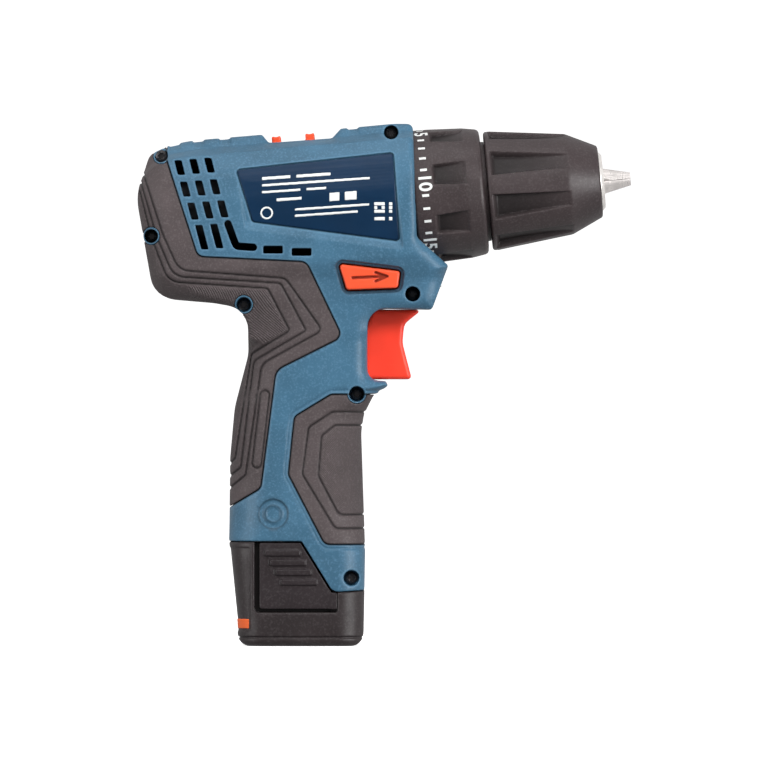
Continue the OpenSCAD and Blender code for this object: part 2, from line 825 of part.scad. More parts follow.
// The path of one jaw: children are drawn along +Z from the point where the jaw axes meet
module on_jaw_axis(i) {
  on_axis(jaw_cross) rotate(120 * i + 90) rotate([0, 180 - jaw_angle, 0]) children();
}

// Radius to which the jaws' backs reach at the station s
function jaw_reach(s) = (jaw_cross - s) * tan(jaw_angle) + jaw_r / cos(jaw_angle);

module chuck_body() {
  color("#6e7074") difference() {
    on_axis(chuck_rear + 0.3) rotate_extrude() polygon([
      [0, 0], [15.6, 0], [16.4, 0.8], [16.4, nut_groove[0] - chuck_rear - 0.5],
      [jaw_reach(nut_groove[0]) - 0.1, nut_groove[0] - chuck_rear - 0.5],
      [jaw_reach(nut_groove[1]) - 0.1, nut_groove[1] - chuck_rear - 0.1],
      [14.4, nut_groove[1] - chuck_rear - 0.1], [14.4, 30], [10.2, chuck_nose - chuck_rear - 1.2],
      [9.2, chuck_nose - chuck_rear - 0.3], [0, chuck_nose - chuck_rear - 0.3]
    ]);
    on_axis(chuck_rear - 1) cylinder(h = 12, r = 6.3);
    on_axis(chuck_rear + 10) cylinder(h = chuck_nose, r = 5.4);
    for (i = [0:2]) on_jaw_axis(i) translate([0, 0, -8]) cylinder(h = 62, r = jaw_r + fit);
  }
}

module chuck_sleeve() {
  inner = 16.9;
  color("#34343a") difference() {
    on_axis(chuck_rear) rotate_extrude() polygon([
      [inner, 0], [20.2, 0], [20.9, 0.7], [17.6, 28], [17, 29.6],
      [12.4, sleeve_front - chuck_rear - 0.4], [11.9, sleeve_front - chuck_rear],
      [10.9, sleeve_front - chuck_rear], [14.9, 30], [14.9, nut_groove[1] - chuck_rear + 0.6],
      [inner, nut_groove[1] - chuck_rear]
    ]);
    flutes(chuck_rear + 1.6, 26, 20.8, 6.7, 1.3, 4, 0.36);
  }
}

module chuck_nut() {
  t = nut_groove[1] - nut_groove[0];
  color("#8a7a4c") on_axis(nut_groove[0]) rotate_extrude() polygon([
    [jaw_reach(nut_groove[0]) + 0.25, 0], [chuck_nut_r, 0], [chuck_nut_r, t],
    [jaw_reach(nut_groove[1]) + 0.25, t]
  ]);
}

module jaw(i) {
  half_gap = 0.04;
  tip_r = 2.3;
  cone_len = 10;
  color("#7c7e82") difference() {
    intersection() {
      on_jaw_axis(i) translate([0, 0, -3]) cylinder(h = jaw_len + 3, r = jaw_r);
      union() {
        on_axis(jaw_tip - cone_len) cylinder(h = cone_len, r1 = 4.6, r2 = tip_r);
        on_axis(jaw_tip - 50) cylinder(h = 50 - cone_len, r = 20);
      }
      on_axis(jaw_tip - 50) rotate(120 * i + 90) translate([2 * half_gap, 0, 0]) linear_extrude(60)
        polygon([[0, 0], [15, -15 * tan(60)], [40, 0], [15, 15 * tan(60)]]);
    }
    on_axis(jaw_tip - 40) cylinder(h = 50, r = jaw_grip_r);
  }
}

// ---- Controls ----

module trigger() {
  color("#d8402c") {
    across(rounded(trigger_outline), trigger_half_w);
    translate([8, 0, stem_z]) rotate([0, 90, 0]) cylinder(h = 17, r = stem_r);
  }
}

module trigger_switch() {
  color("#26272a") difference() {
    translate([switch_x[0], -switch_half_w, switch_z[0]])
      cube([switch_x[1] - switch_x[0], 2 * switch_half_w, switch_z[1] - switch_z[0]]);
    translate([0, 0, stem_z]) rotate([0, 90, 0]) cylinder(h = 20, r = stem_r + 0.1);
  }
}

module trigger_spring() {
  color("#b8babd") translate([switch_x[1] + 0.6, 0, stem_z]) rotate([0, 90, 0]) coil(3.6, 0.4, 7.2, 4);
}

module direction_lever() {
  color("#e2582a") across(rounded(lever_outline), lever_half_l);
}

module work_light() {
  color("#e8e4c8") translate(led_at) rotate([0, 90 - led_tilt, 0]) {
    translate([0, 0, -4]) cylinder(h = 6.3, r = led_r);
    translate([0, 0, -5]) cylinder(h = 1, r = led_r + 0.1);
  }
}

// A lead through the points [x, z] in the plane at y: one eight-sided tube, mitred at its bends
module lead(points, y, r = 1.1) {
  sides = 8;
  last = len(points) - 1;
  rings = [
    for (k = [0:last])
      let(
        before = unit(points[max(k, 1)] - points[max(k, 1) - 1]),
        after = unit(points[min(k, last - 1) + 1] - points[min(k, last - 1)]),
        middle = unit(before + after),
        normal = [-middle[1], middle[0]] / (middle * after)
      )
      for (j = [0:sides - 1])
        let(a = 360 * j / sides, p = points[k] + r * cos(a) * normal)
        [p[0], y + r * sin(a), p[1]]
  ];
  walls = [
    for (k = [0:last - 1], j = [0:sides - 1])
      let(n = (j + 1) % sides)
      [sides * k + n, sides * k + j, sides * (k + 1) + j, sides * (k + 1) + n]
  ];
  ends = [[for (j = [0:sides - 1]) j], [for (j = [sides - 1:-1:0]) sides * last + j]];
  polyhedron(points = rings, faces = concat(walls, ends));
}

module switch_leads() {
  color("#8c2a24") for (side = [-1, 1]) {
    lead([[-9, 117], [-9, 133.2], [-44, 130.2], [-46, 130]], side * 5);
    lead([[0, 87.5], [0, 90]], side * 5);
    lead([[11, 117], [11, 119], [20, 122.6], [34.9, 123.2], [35.6, 127.2], [41.2, 126.5]], side * 1.5, 0.5);
  }
}

module handle_terminals() {
  color("#3a3b3e") difference() {
    translate([-9, -13, stick_top + 1.5]) cube([15, 26, 8]);
    for (y = [-8, 0, 8]) translate([-5.5, y - 1, stick_top]) cube([8, 2, 7.5]);
  }
}

// ---- Battery ----

module battery_case() {
  color("#3e3e41") difference() {
    intersection() {
      outer_body();
      across(parting);
    }
    translate([0, 0, stick_bottom]) linear_extrude(60) stick_shape(stick_r);
    difference() {
      across(rounded(latch_window));
      across(rounded(latch_window), latch_room_y);
    }
  }
}

module battery_stick() {
  color("#4a4a4d") difference() {
    translate([0, 0, stick_bottom]) linear_extrude(stick_top - stick_bottom) stick_shape(stick_r);
    for (c = cells) translate([c[0], c[1], stick_bottom - 1]) cylinder(h = cell_len + 3, r = cell_r);
    for (y = [-8, 0, 8]) translate([-5, y - 0.4, stick_top - 4]) cube([7, 0.8, 5]);
  }
}

module battery_cells() {
  color("#c8cacc") for (c = cells) translate([c[0], c[1], stick_bottom]) {
    cylinder(h = cell_len - 1, r = cell_r);
    translate([0, 0, cell_len - 1]) cylinder(h = 1, r = 3);
  }
}

module battery_contacts() {
  color("#c9a24a") for (y = [-8, 0, 8]) translate([-5, y - 0.4, stick_top - 4]) cube([7, 0.8, 10]);
}

module latch(side) {
  color("#3a3a3d") {
    intersection() {
      outer_body();
      difference() {
        across(rounded(latch_outline));
        across(rounded(latch_outline), latch_inner_y);
      }
      side_space(side);
    }
    for (k = [0:latch_ridges - 1])
      translate([-12.6 + 1.9 * k, side > 0 ? 22 : -23.4, 31.6 - 3.4 * k]) cube([12.6, 1.4, 2.1]);
    translate([latch_pivot[0], side * latch_pivot[1], latch_pivot[2]])
      cylinder(h = latch_pivot_len, r = latch_pivot_r);
  }
}

right_housing();
left_housing();
right_overmould();
left_overmould();
housing_screws();
motor_can();
motor_magnets();
motor_end_cap();
motor_brushes();
motor_plate();
bearings();
gear_case();
first_ring();
third_ring();
clutch_plate();
clutch_spring();
trigger_switch();
trigger_spring();
work_light();
switch_leads();
handle_terminals();
spindle();
chuck_screw();
chuck_body();
chuck_sleeve();
chuck_nut();
for (i = [0:2]) jaw(i);
rotor_shaft();
armature();
armature_windings();
commutator();
rotor_fan();
motor_pinion();
first_carrier();
for (i = [0:2]) first_planet(i);
second_carrier();
for (i = [0:2]) second_planet(i);
for (i = [0:2]) third_planet(i);
clutch_collar();
clutch_nut();
gear_selector();
shift_fork();
shift_ring();
trigger();
direction_lever();
battery_case();
battery_stick();
battery_cells();
battery_contacts();
latch(-1);  // right_latch
latch(1);  // left_latch
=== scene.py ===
"""Looks of the compact cordless drill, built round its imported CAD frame.

The moulded parts are shaped as distance fields on grids of points and then meshed, so that their
edges, grooves and vents are rounded as a mould rounds them. Lengths in the script are millimetres
until a mesh is made. A field is negative inside its shape.
"""

import json
import math

import bmesh
import bpy
import numpy as np
import openvdb
from mathutils import Matrix, Vector


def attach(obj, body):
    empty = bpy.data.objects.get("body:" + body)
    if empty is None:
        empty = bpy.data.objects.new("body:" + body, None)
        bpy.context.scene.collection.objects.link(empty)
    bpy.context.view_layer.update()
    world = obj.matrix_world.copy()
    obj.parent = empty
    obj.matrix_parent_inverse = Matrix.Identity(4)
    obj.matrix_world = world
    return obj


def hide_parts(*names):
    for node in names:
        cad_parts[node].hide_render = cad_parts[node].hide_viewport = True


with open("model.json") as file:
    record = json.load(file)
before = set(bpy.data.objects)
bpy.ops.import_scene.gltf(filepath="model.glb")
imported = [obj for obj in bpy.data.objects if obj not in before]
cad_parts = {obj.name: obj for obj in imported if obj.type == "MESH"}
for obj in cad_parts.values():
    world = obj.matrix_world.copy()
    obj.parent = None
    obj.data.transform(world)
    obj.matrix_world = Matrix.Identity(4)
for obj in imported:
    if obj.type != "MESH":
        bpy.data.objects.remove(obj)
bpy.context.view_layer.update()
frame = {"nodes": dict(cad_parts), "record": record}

MM = 0.001
FINE = 0.3      # grid step of the large mouldings
SMALL = 0.22    # grid step of the small ones
DETAIL = 0.02                          # how far flat stretches of a mesh may be merged
PAST_MIDDLE = 1.5                      # how far a grid of one half reaches past the parting plane

AXIS_Z = 153.5                         # the tool axis at the origin
TILT = math.radians(5)
COS, SIN = math.cos(TILT), math.sin(TILT)

# Side outline of the tool: corners (x, z, rounding), anticlockwise from the front of the base
TOOL_OUTLINE = [
    (21.9, 0.1, 4.5), (22.5, 33, 20), (21.1, 75, 20), (22.1, 81, 4), (25.3, 87.4, 3), (30.6, 91, 0.8),
    (29.7, 92.6, 0.4), (23.3, 93.1, 4), (23.3, 118.2, 6.5), (45.9, 117.7, 1.5), (51.6, 133, 1.2),
    (40.5, 142.8, 3), (39.2, 182.7, 2.2), (32.4, 182.7, 1), (14, 181, 1.2), (10.9, 177.6, 1.2),
    (-11.2, 176, 1.2), (-13.6, 178.9, 1.2), (-46.5, 176.1, 6), (-53, 172.5, 5), (-57.6, 157.5, 20),
    (-51.3, 121.8, 9), (-31, 120.1, 8), (-18.3, 117.9, 9), (-18.4, 102, 15), (-23.2, 83.5, 30),
    (-24.8, 66, 30), (-25.1, 37, 6), (-22.2, 8, 20), (-21.9, 0.1, 4.5),
]
STEM_OUTLINE = [(21.9, -40, 0)] + TOOL_OUTLINE[1:-1] + [(-21.9, -40, 0)]
# Section of the head across the tool axis: corners (half width, height over the axis, rounding)
HEAD_SECTION = [
    (-15, -44, 0), (18.2, -44, 0), (18.8, -34, 6), (22.8, -27, 6), (25.6, -20, 6), (25.9, -12, 8),
    (25.4, 4, 20), (23.6, 14, 8), (18.2, 20.8, 1.2), (12.4, 23.4, 1), (9.6, 31, 0), (-15, 31, 0),
]


# ---- Fields ----


class Block:
    """A grid of points. x, y and z broadcast against each other; s runs along the tool axis, u up from it."""

    def __init__(self, low, high, step):
        self.low, self.step = np.array(low, np.float32), step
        count = np.ceil((np.array(high) - low) / step).astype(int) + 1
        x, y, z = (low[i] + step * np.arange(count[i], dtype=np.float32) for i in range(3))
        self.x, self.y, self.z = x[:, None, None], y[None, :, None], z[None, None, :]
        self.s = self.x * COS + (self.z - AXIS_Z) * SIN
        self.u = (self.z - AXIS_Z) * COS - self.x * SIN


def unit(v):
    return v / np.linalg.norm(v)


def rounded(corners, steps=6, closed=True):
    """The points of an outline, or of an open line, whose corners (x, z, radius) are rounded by arcs."""
    points = []
    for i, (x, z, r) in enumerate(corners):
        b = np.array((x, z), float)
        if r <= 0 or (not closed and i in (0, len(corners) - 1)):
            points.append(b)
            continue
        to_last = unit(np.array(corners[i - 1][:2]) - b)
        to_next = unit(np.array(corners[(i + 1) % len(corners)][:2]) - b)
        half = math.acos(np.clip(to_last @ to_next, -1, 1)) / 2
        centre = b + unit(to_last + to_next) * r / math.sin(half)
        p, q = (b + t * r / math.tan(half) - centre for t in (to_last, to_next))
        start = math.atan2(p[1], p[0])
        turn = (math.atan2(q[1], q[0]) - start + math.pi) % (2 * math.pi) - math.pi
        angles = start + turn * np.arange(steps + 1) / steps
        points += [centre + r * np.array((math.cos(a), math.sin(a))) for a in angles]
    return np.array(points)


def line_distance(points, a, b, closed=False):
    """Distance from (a, b) to the line through the points, and whether a closed line holds (a, b)."""
    a, b = np.broadcast_arrays(a, b)
    best = np.full(a.shape, 1e9, np.float32)
    inside = np.zeros(a.shape, bool)
    ends = np.roll(points, -1, axis=0)
    for p, q in list(zip(points, ends))[: None if closed else -1]:
        ex, ey = q - p
        wx, wy = a - p[0], b - p[1]
        t = np.clip((wx * ex + wy * ey) / (ex * ex + ey * ey), 0, 1)
        best = np.minimum(best, (wx - ex * t) ** 2 + (wy - ey * t) ** 2)
        if closed and ey != 0:
            crosses = (p[1] > b) != (q[1] > b)
            inside ^= crosses & (a < p[0] + ex * (b - p[1]) / ey)
    return np.sqrt(best), inside


def outline_field(corners, a, b):
    """Signed distance to the inside of a rounded outline."""
    distance, inside = line_distance(rounded(corners), a, b, closed=True)
    return np.where(inside, -distance, distance).astype(np.float32)


def both(a, b, r=0.0):
    """Where a and b overlap, with the edge between them rounded by the radius r."""
    if np.ndim(r) == 0 and r == 0:
        return np.maximum(a, b)
    return np.minimum(np.maximum(a, b) + r, 0) - r + np.hypot(np.maximum(a + r, 0), np.maximum(b + r, 0))


def either(a, b, r=0.0):
    """Where a or b is, with the corner between them filled by the radius r."""
    return -both(-a, -b, r)


def without(a, b, r=0.0):
    return both(a, -b, r)


def corner(a, b, ra, rb):
    """Where a and b overlap, with their edge rounded by a quarter ellipse that is ra by rb."""
    p, q = (a + ra) / ra, (b + rb) / rb
    reach = np.hypot(np.maximum(p, 0), np.maximum(q, 0)) - 1 + np.minimum(np.maximum(p, q), 0)
    return reach * np.minimum(ra, rb)


def ease(value, start, end):
    """0 before start, 1 past end, and smooth between."""
    t = np.clip((value - start) / (end - start), 0, 1)
    return t * t * (3 - 2 * t)


def true_distance(f, step):
    """The field scaled so that it grows by about 1 per millimetre near its surface."""
    slope = np.sqrt(sum(g * g for g in np.gradient(f, step)))
    return (f / np.clip(slope, 0.3, 2)).astype(np.float32)


def across_section(block, corners):
    """A section (half width, height over the axis) run along the tool axis."""
    u_axis = np.arange(float(block.u.min()) - 1, float(block.u.max()) + 1.3, 0.25)
    table = outline_field(corners, block.y[0, :, 0][:, None], u_axis[None, :].astype(np.float32))
    place = (block.u[:, 0, :] - u_axis[0]) / 0.25
    low = place.astype(int)
    part = (place - low).astype(np.float32)
    values = table[:, low] * (1 - part) + table[:, low + 1] * part
    return np.moveaxis(values, 0, 1)


# ---- The tool's outer shape ----


def handle_half_width(z):
    """Half width of the handle and the battery at the height z."""
    wide_foot = 22.8 - 1.8 * ease(z, 40, 60)
    return wide_foot + 0.2 * ease(z, 66, 84) + 0.6 * ease(z, 104, 124)


def tool_shape(block):
    """The whole tool's outer surface as one field: head, handle and battery base."""
    x, z = block.x, block.z
    side = outline_field(TOOL_OUTLINE, x, z)
    rear = ease(-x, 30, 52)
    chin = ease(x, 26, 44) * ease(-z, -146, -136)
    head_round = 2.2 + 8.5 * rear + 3.4 * chin
    head = both(side, across_section(block, HEAD_SECTION), head_round)
    by_trigger = ease(x, 2, 14) * ease(z, 78, 92)
    by_base = ease(-z, -46, -30)
    handle_round = 15.5 - 10 * by_trigger - 5.5 * by_base
    stem = outline_field(STEM_OUTLINE, x, z)
    handle = corner(stem, block.y - handle_half_width(z), handle_round, handle_round * 0.92)
    handle = both(both(handle, z - 126, 5), 0.1 - z, 2.2)
    return true_distance(np.maximum(either(head, handle, 6), side), block.step)


# ---- Meshes ----


def sample(field, places):
    """Trilinear values of a field at places given in grid steps."""
    low = np.clip(places.astype(int), 0, np.array(field.shape) - 2)
    part = places - low
    total = 0
    for corner_bits in range(8):
        bit = [(corner_bits >> k) & 1 for k in range(3)]
        weight = np.prod([part[:, k] if bit[k] else 1 - part[:, k] for k in range(3)], axis=0)
        total = total + weight * field[low[:, 0] + bit[0], low[:, 1] + bit[1], low[:, 2] + bit[2]]
    return total


def mesh_object(name, points, faces, normals=None):
    mesh = bpy.data.meshes.new(name)
    mesh.from_pydata(points.tolist(), [], faces)
    mesh.validate()
    mesh.shade_smooth()
    if normals is not None:
        mesh.normals_split_custom_set_from_vertices(normals.tolist())
    obj = bpy.data.objects.new(name, mesh)
    bpy.context.scene.collection.objects.link(obj)
    return obj


def doubled(field):
    """A field over a block that starts at y = 0, with its mirror image joined on."""
    return np.concatenate((field[:, :0:-1], field), axis=1)


def moulded(name, field, block, mirrored=False, detail=0.0, marks=None, whole=False):
    """A smooth mesh of the field's surface, with normals from the field itself.

    marks are named values over the block that its material reads, such as where painted shade falls.
    whole joins on the mirror image of a block that starts at y = 0.
    """
    low = block.low
    marks = {mark: np.broadcast_to(values, field.shape) for mark, values in (marks or {}).items()}
    if whole:
        low = low - np.array((0, (field.shape[1] - 1) * block.step, 0))
        field = doubled(field)
        marks = {mark: doubled(values) for mark, values in marks.items()}
    reach = 3 * block.step
    band = np.clip(field, -reach, reach).astype(np.float32)
    grid = openvdb.FloatGrid(reach)
    grid.copyFromArray(band)
    places, triangles, quads = grid.convertToPolygons(0.0, detail)
    slopes = np.stack([sample(g, places) for g in np.gradient(band)], axis=1)
    normals = slopes / np.maximum(np.linalg.norm(slopes, axis=1), 1e-9)[:, None]
    points = (low + places * block.step) * MM
    if mirrored:
        points[:, 1] *= -1
        normals[:, 1] *= -1
    faces = [f[::-1] for f in quads.tolist()] + [f[::-1] for f in triangles.tolist()]
    first = points[faces[0][:3]]
    outward = np.cross(first[1] - first[0], first[2] - first[0]) @ normals[faces[0][0]]
    if outward < 0:
        faces = [f[::-1] for f in faces]
    obj = mesh_object(name, points, faces, normals)
    for mark, values in marks.items():
        layer = obj.data.attributes.new(mark, "FLOAT", "POINT")
        layer.data.foreach_set("value", sample(values, places).astype(np.float32))
    return obj


# ---- Side drawings: corners (x, z, rounding) ----

PARTING = [
    (-40, -5, 0), (40, -5, 0), (40, 19.6, 0), (24, 19.6, 0), (11.2, 18.9, 3.6), (0.3, 36.6, 1),
    (-40, 36.6, 0),
]
REAR_RUBBER = [
    (-47, 190, 0), (-47, 170.5, 3), (-35.8, 136, 3), (2, 134.2, 3.5), (14.6, 108, 3),
    (-8.6, 96.4, 5), (-13.9, 55.2, 3), (-24.9, 48.6, 1), (-60, 48.6, 0), (-60, 190, 0),
]
FRONT_RUBBER = [(40, 35.6, 0), (40, 88, 0), (10.6, 88, 3), (-2.2, 80.2, 3), (-4.3, 60, 3), (8.4, 35.6, 3)]
PAD_LINES = [
    [(40, 81.8, 0), (11, 81.8, 2.5), (2.8, 76.5, 2.5), (0.6, 60, 2.5), (12, 41.2, 2.5), (40, 41.2, 0)],
    [(40, 77.2, 0), (12, 77.2, 2.5), (7.3, 73.5, 2.5), (6.2, 59.5, 2.5), (13.3, 46, 2.5), (40, 46, 0)],
]
REAR_LINES = [
    [(-54.9, 164.9, 0), (-48.1, 143.9, 12), (-42.4, 131.2, 6), (-5.3, 128.4, 4), (7.6, 110.2, 2),
     (-13.6, 98.6, 5), (-19.2, 59.8, 1.5), (-24.9, 55.1, 0)],
    [(-55.8, 162.1, 0), (-50.2, 143, 12), (-44.2, 129, 6), (-7, 126.7, 2), (1.9, 110.2, 1),
     (-16.4, 99.6, 3), (-20.9, 62.4, 1), (-24.9, 59.3, 0)],
    [(-56.1, 158.9, 0), (-52, 142.6, 12), (-46, 127.2, 6), (-11.5, 124.9, 1.5), (-3.8, 110.2, 1),
     (-17.2, 102, 2), (-22.9, 65.6, 0.6), (-24.9, 63.5, 0)],
]
LABEL = [(-22.5, 166.3, 1.2), (-16.8, 148.1, 1.2), (34.6, 141.4, 1.2), (32.3, 172.3, 1.2)]
LABEL_FACET = [(-22.5, 166.3, 1.2), (-18.5, 144.6, 2), (35.4, 138.2, 1.2), (32.3, 172.3, 1.2)]
LEVER = [(13.3, 133.5, 1), (16.1, 124.4, 1), (33.9, 125.1, 1), (34.7, 130.9, 1)]
TRIGGER = [
    (21.6, 96.5, 1), (21.9, 93.2, 1.4), (38.9, 93.2, 1.2), (35.6, 106, 6), (36.2, 112.6, 4),
    (41.8, 117.1, 0.6), (40.4, 117.7, 0.2), (24.8, 117.7, 3), (21.6, 110, 4),
]
LATCH = [
    (-14.4, 36.2, 0.6), (-14.4, 13.1, 1), (12.6, 13.1, 0.6), (12.6, 18.7, 0.5), (10.8, 18.7, 0.5),
    (0, 36.2, 0.6),
]
LATCH_WINDOW = [(-16.1, 40, 0), (-16.1, 11.9, 1.2), (12.85, 11.9, 0.6), (12.85, 19, 0), (10.6, 40, 0)]
# Rows of upright vents: x and z of the first, height, how many
VENT_ROWS = [(-42.2, 167.1, 5.1, 3), (-40.2, 159.5, 5.1, 3), (-37.5, 151.8, 5.8, 3), (-34.4, 142.7, 8.4, 2)]
VENT_PITCH, VENT_RISE, VENT_WIDTH, VENT_LEAN = 5.2, 0.4, 2.5, 0.26
LOW_VENTS = [(-9.6, 138.4), (0.35, 137.6)]
LOW_VENT_SIZE = (6.8, 2.6)
BENT_VENT = [(-25.3, 147.4, 0), (-22.4, 139.6, 1.5), (-16.4, 139.2, 0)]
SCREWS = [                                    # x, z, outer face of the head, radius of the hole over it
    (-48.8, 171.4, 8.6, 2.3), (-52.1, 143.2, 14, 2.4), (-19.8, 119.3, 16.5, 2.6), (31.6, 179.6, 8, 2.5),
    (39.1, 123, 14, 2.6), (19.6, 88.1, 15, 2.7), (17.7, 23.9, 17.5, 2.7),
]
RIDGE_NOTCHES = [-42.2, -33.8, -24.5, 20.5]
EMBLEM = (-9.5, 46.3, 5.2)                     # x, z and radius of the sunk disc
EMBLEM_RING = 2.9
GRIP_SLOT = [(-12.5, 87.7, 0), (-15.3, 63.9, 0)]
SLOT_HALF_W = 1.6
REAR_HATCH = [
    (-30, 126.1, 0), (-11.5, 124.9, 1.5), (-3.8, 110.2, 1), (-17.2, 102, 2), (-22.9, 65.6, 0.6),
    (-40, 65.6, 0), (-40, 126.5, 0),
]
RIB = (-46, -26, 165.4)                        # rear end, front end and lower edge of the rib over the motor
RUBBER_T = 1.2
RUBBER_GROOVE = (0.7, 0.5)                     # width and depth of the rubber's lines
WALL = 2.7
COLLAR_REAR = 39.9
COLLAR_ROOM_R = 23.8
GEAR_ROOM_R = 19.8
STICK_R = 9.85
STICK_ROOM_TOP = 83
CELLS = (-11.5, 9.15, 4.35)                    # x and y of a rear cell, x of the front one
LED = (46.5, 127.6, math.radians(12))          # x, z and lean of the work light
LED_R = 2.65


# ---- Housing ----


def groove(distance, width, depth):
    """How deep a round-shouldered groove is at a distance from its middle line."""
    return depth * (1 - ease(distance, width * 0.25, width * 0.75))


def open_line(corners, block):
    return line_distance(rounded(corners, closed=False), block.x, block.z)[0]


def label_dip(block):
    """How far the flat round the panel lies under the head's bulge: most along the panel's lower edge."""
    above = (block.x + 16.8) * 0.129 + (block.z - 148.1) * 0.992
    return 1.2 * np.clip(np.minimum(1 - above / 14, 1 + above / 3), 0, 1)


def vent_field(block):
    field = open_line(BENT_VENT, block) - VENT_WIDTH / 2
    slots = [(x, z, *LOW_VENT_SIZE, 0) for x, z in LOW_VENTS]
    for x, z, h, n in VENT_ROWS:
        slots += [(x + VENT_PITCH * k, z + VENT_RISE * k, VENT_WIDTH, h, VENT_LEAN) for k in range(n)]
    for x, z, w, h, lean in slots:
        a = np.abs(block.x - x + lean * (block.z - z)) - w / 2
        field = np.minimum(field, both(a, np.abs(block.z - z) - h / 2, 0.3))
    return field


def stick_field(block, r):
    """Plan of the battery's upright stick, grown to the cell radius r."""
    x, y = block.x, block.y
    rear_x, rear_y, front_x = CELLS
    field = np.minimum(np.hypot(x - rear_x, y - rear_y), np.hypot(x - front_x, y)) - r
    side = rear_x - r
    slant = (front_x + r * math.cos(math.pi / 6), r / 2, 0)
    web = [(side, -rear_y, 0), (front_x, -rear_y, 0), slant, (rear_x, rear_y + r, 0), (side, rear_y, 0)]
    return np.minimum(field, outline_field(web, x, y))


def rubber_marks(block, f, stick, seam):
    """The rubber's lines, the painted shade in them and along its seam, and its two patches of fine ribs.

    The lines are shallower where the battery's stick comes close behind them.
    """
    x, z = block.x, block.z
    lines = [open_line(line, block) for line in REAR_LINES]
    lines += [np.abs(outline_field(line, x, z)) for line in PAD_LINES]
    lines.append(np.abs(open_line(GRIP_SLOT, block) - SLOT_HALF_W))
    nearest = np.minimum.reduce(lines)
    spare = np.maximum(stick - f["outer"] - 0.3, 0)
    depth = groove(nearest, *RUBBER_GROOVE)
    f["rubber_lines"] = np.where(z < 90, np.minimum(depth, spare), depth)
    # painted shade in the rubber's grooves and along its seam with the housing
    f["rubber_grime"] = np.maximum(1 - ease(nearest, 0.1, 0.42), seam)
    behind = outline_field(REAR_HATCH, x, z)
    pad = outline_field(PAD_LINES[1], x, z)
    f["hatch"] = np.maximum(1 - ease(behind, -1.2, -0.4), 0.6 * (1 - ease(pad, -1.2, -0.4)))


def housing_marks(block, f, openings, front, seam):
    """The flat round the panel, the emblem and the top's notches, and where the housing takes painted shade
    and painted highlights.
    """
    x, z = block.x, block.z
    emblem_x, emblem_z, emblem_r = EMBLEM
    facet = f["dip"] * (1 - ease(outline_field(LABEL_FACET, x, z), -0.2, 0.5))
    disc = np.hypot(x - emblem_x, z - emblem_z)
    ring = np.abs(disc - EMBLEM_RING)
    marks = groove(np.maximum(disc - emblem_r + 0.6, 0), 0.7, 0.55) - groove(ring, 1.2, 0.4)
    marks = marks + groove(np.abs(front - 1.3), 0.8, 0.3)
    notches = sum(groove(np.maximum(np.abs(block.s - c) - 1.1, 0), 1.5, 0.6) for c in RIDGE_NOTCHES)
    f["housing_lines"] = facet + marks + notches * ease(block.u, 23.6, 25)
    # painted shade along the emblem's outlines and the rims of the panel and lever recesses
    rims = [np.abs(disc - emblem_r), ring]
    rims += [np.abs(f["label"] + 0.1), np.abs(f["lever"] - 0.9) - 0.4]
    rims = 0.6 * (1 - ease(np.minimum.reduce(rims), 0.1, 0.4))
    # painted shade inside the head, under its outer surface
    inside = ease(-f["outer"], 1.2, 2.2) * ease(z, 120, 130)
    f["housing_grime"] = np.maximum(np.maximum(seam, rims), inside)
    # painted highlights along the rims of the vents, the seam, the panel and the screw holes
    edges = [np.abs(openings - 0.35), np.abs(f["area"] - 0.6), np.abs(f["label"] - 0.55)]
    edges += [np.abs(np.hypot(x - at_x, z - at_z) - r - 0.4) for at_x, at_z, _, r in SCREWS]
    f["housing_wear"] = 1 - ease(np.minimum.reduce(edges), 0.05, 0.4)


def gear_bay(block):
    """Room for the collar, the gear case and the travel of the shift fork."""
    s, u, y = block.s, block.u, block.y
    radial = np.hypot(y, u)
    collar = both(radial - COLLAR_ROOM_R, COLLAR_REAR - 0.3 - s)
    gears = both(radial - GEAR_ROOM_R, 30 - s)
    fork = both(both(-16 - s, s - 17), both(y - 8, both(GEAR_ROOM_R - u, u - 22.5)))
    return np.minimum(np.minimum(collar, gears), fork)


def control_windows(block):
    """The openings for the trigger, the speed selector and the work light."""
    x, y, z = block.x, block.y, block.z
    trigger = both(both(16.5 - x, x - 40), both(y - 8.7, both(92.9 - z, z - 118.1)))
    selector = both(both(np.abs(block.s) - 11.5, 20 - block.u), y - 7)
    led_x, led_z, lean = LED
    across = (z - led_z) * math.cos(lean) - (x - led_x) * math.sin(lean)
    along = (x - led_x) * math.cos(lean) + (z - led_z) * math.sin(lean)
    led = both(np.hypot(y, across) - LED_R - 0.8 * np.maximum(along - 2.6, 0), -along - 8)
    return np.minimum(np.minimum(trigger, selector), led)


def shared_fields(block):
    """The fields that both halves of the housing and the rubber use."""
    x, z = block.x, block.z
    f = {"outer": tool_shape(block), "dip": label_dip(block)}
    front = outline_field(FRONT_RUBBER, x, z)
    f["area"] = np.minimum(outline_field(REAR_RUBBER, x, z), front)
    f["parting"] = outline_field(PARTING, x, z)
    f["lever"] = outline_field(LEVER, x, z)
    f["label"] = outline_field(LABEL, x, z)
    # painted shade along the seam between the rubber and the housing
    seam = 1 - ease(np.abs(f["area"]), 0.1, 0.5)
    stick = stick_field(block, STICK_R + 0.12)
    openings = vent_field(block)
    rubber_marks(block, f, stick, seam)
    housing_marks(block, f, openings, front, seam)
    f["vents"] = both(openings, 15 - block.y)
    f["stick"] = both(stick, z - STICK_ROOM_TOP)
    f["bay"] = gear_bay(block)
    f["windows"] = control_windows(block)
    return f


def screw_fields(block):
    """The holes over the screws, and the bosses round them."""
    holes, bosses = 50.0, 50.0
    for x, z, head, r in SCREWS:
        d = np.hypot(block.x - x, block.z - z)
        holes = np.minimum(holes, both(d - r, head - 1.6 - block.y))
        bosses = np.minimum(bosses, d - r - 0.6)
    return holes, bosses


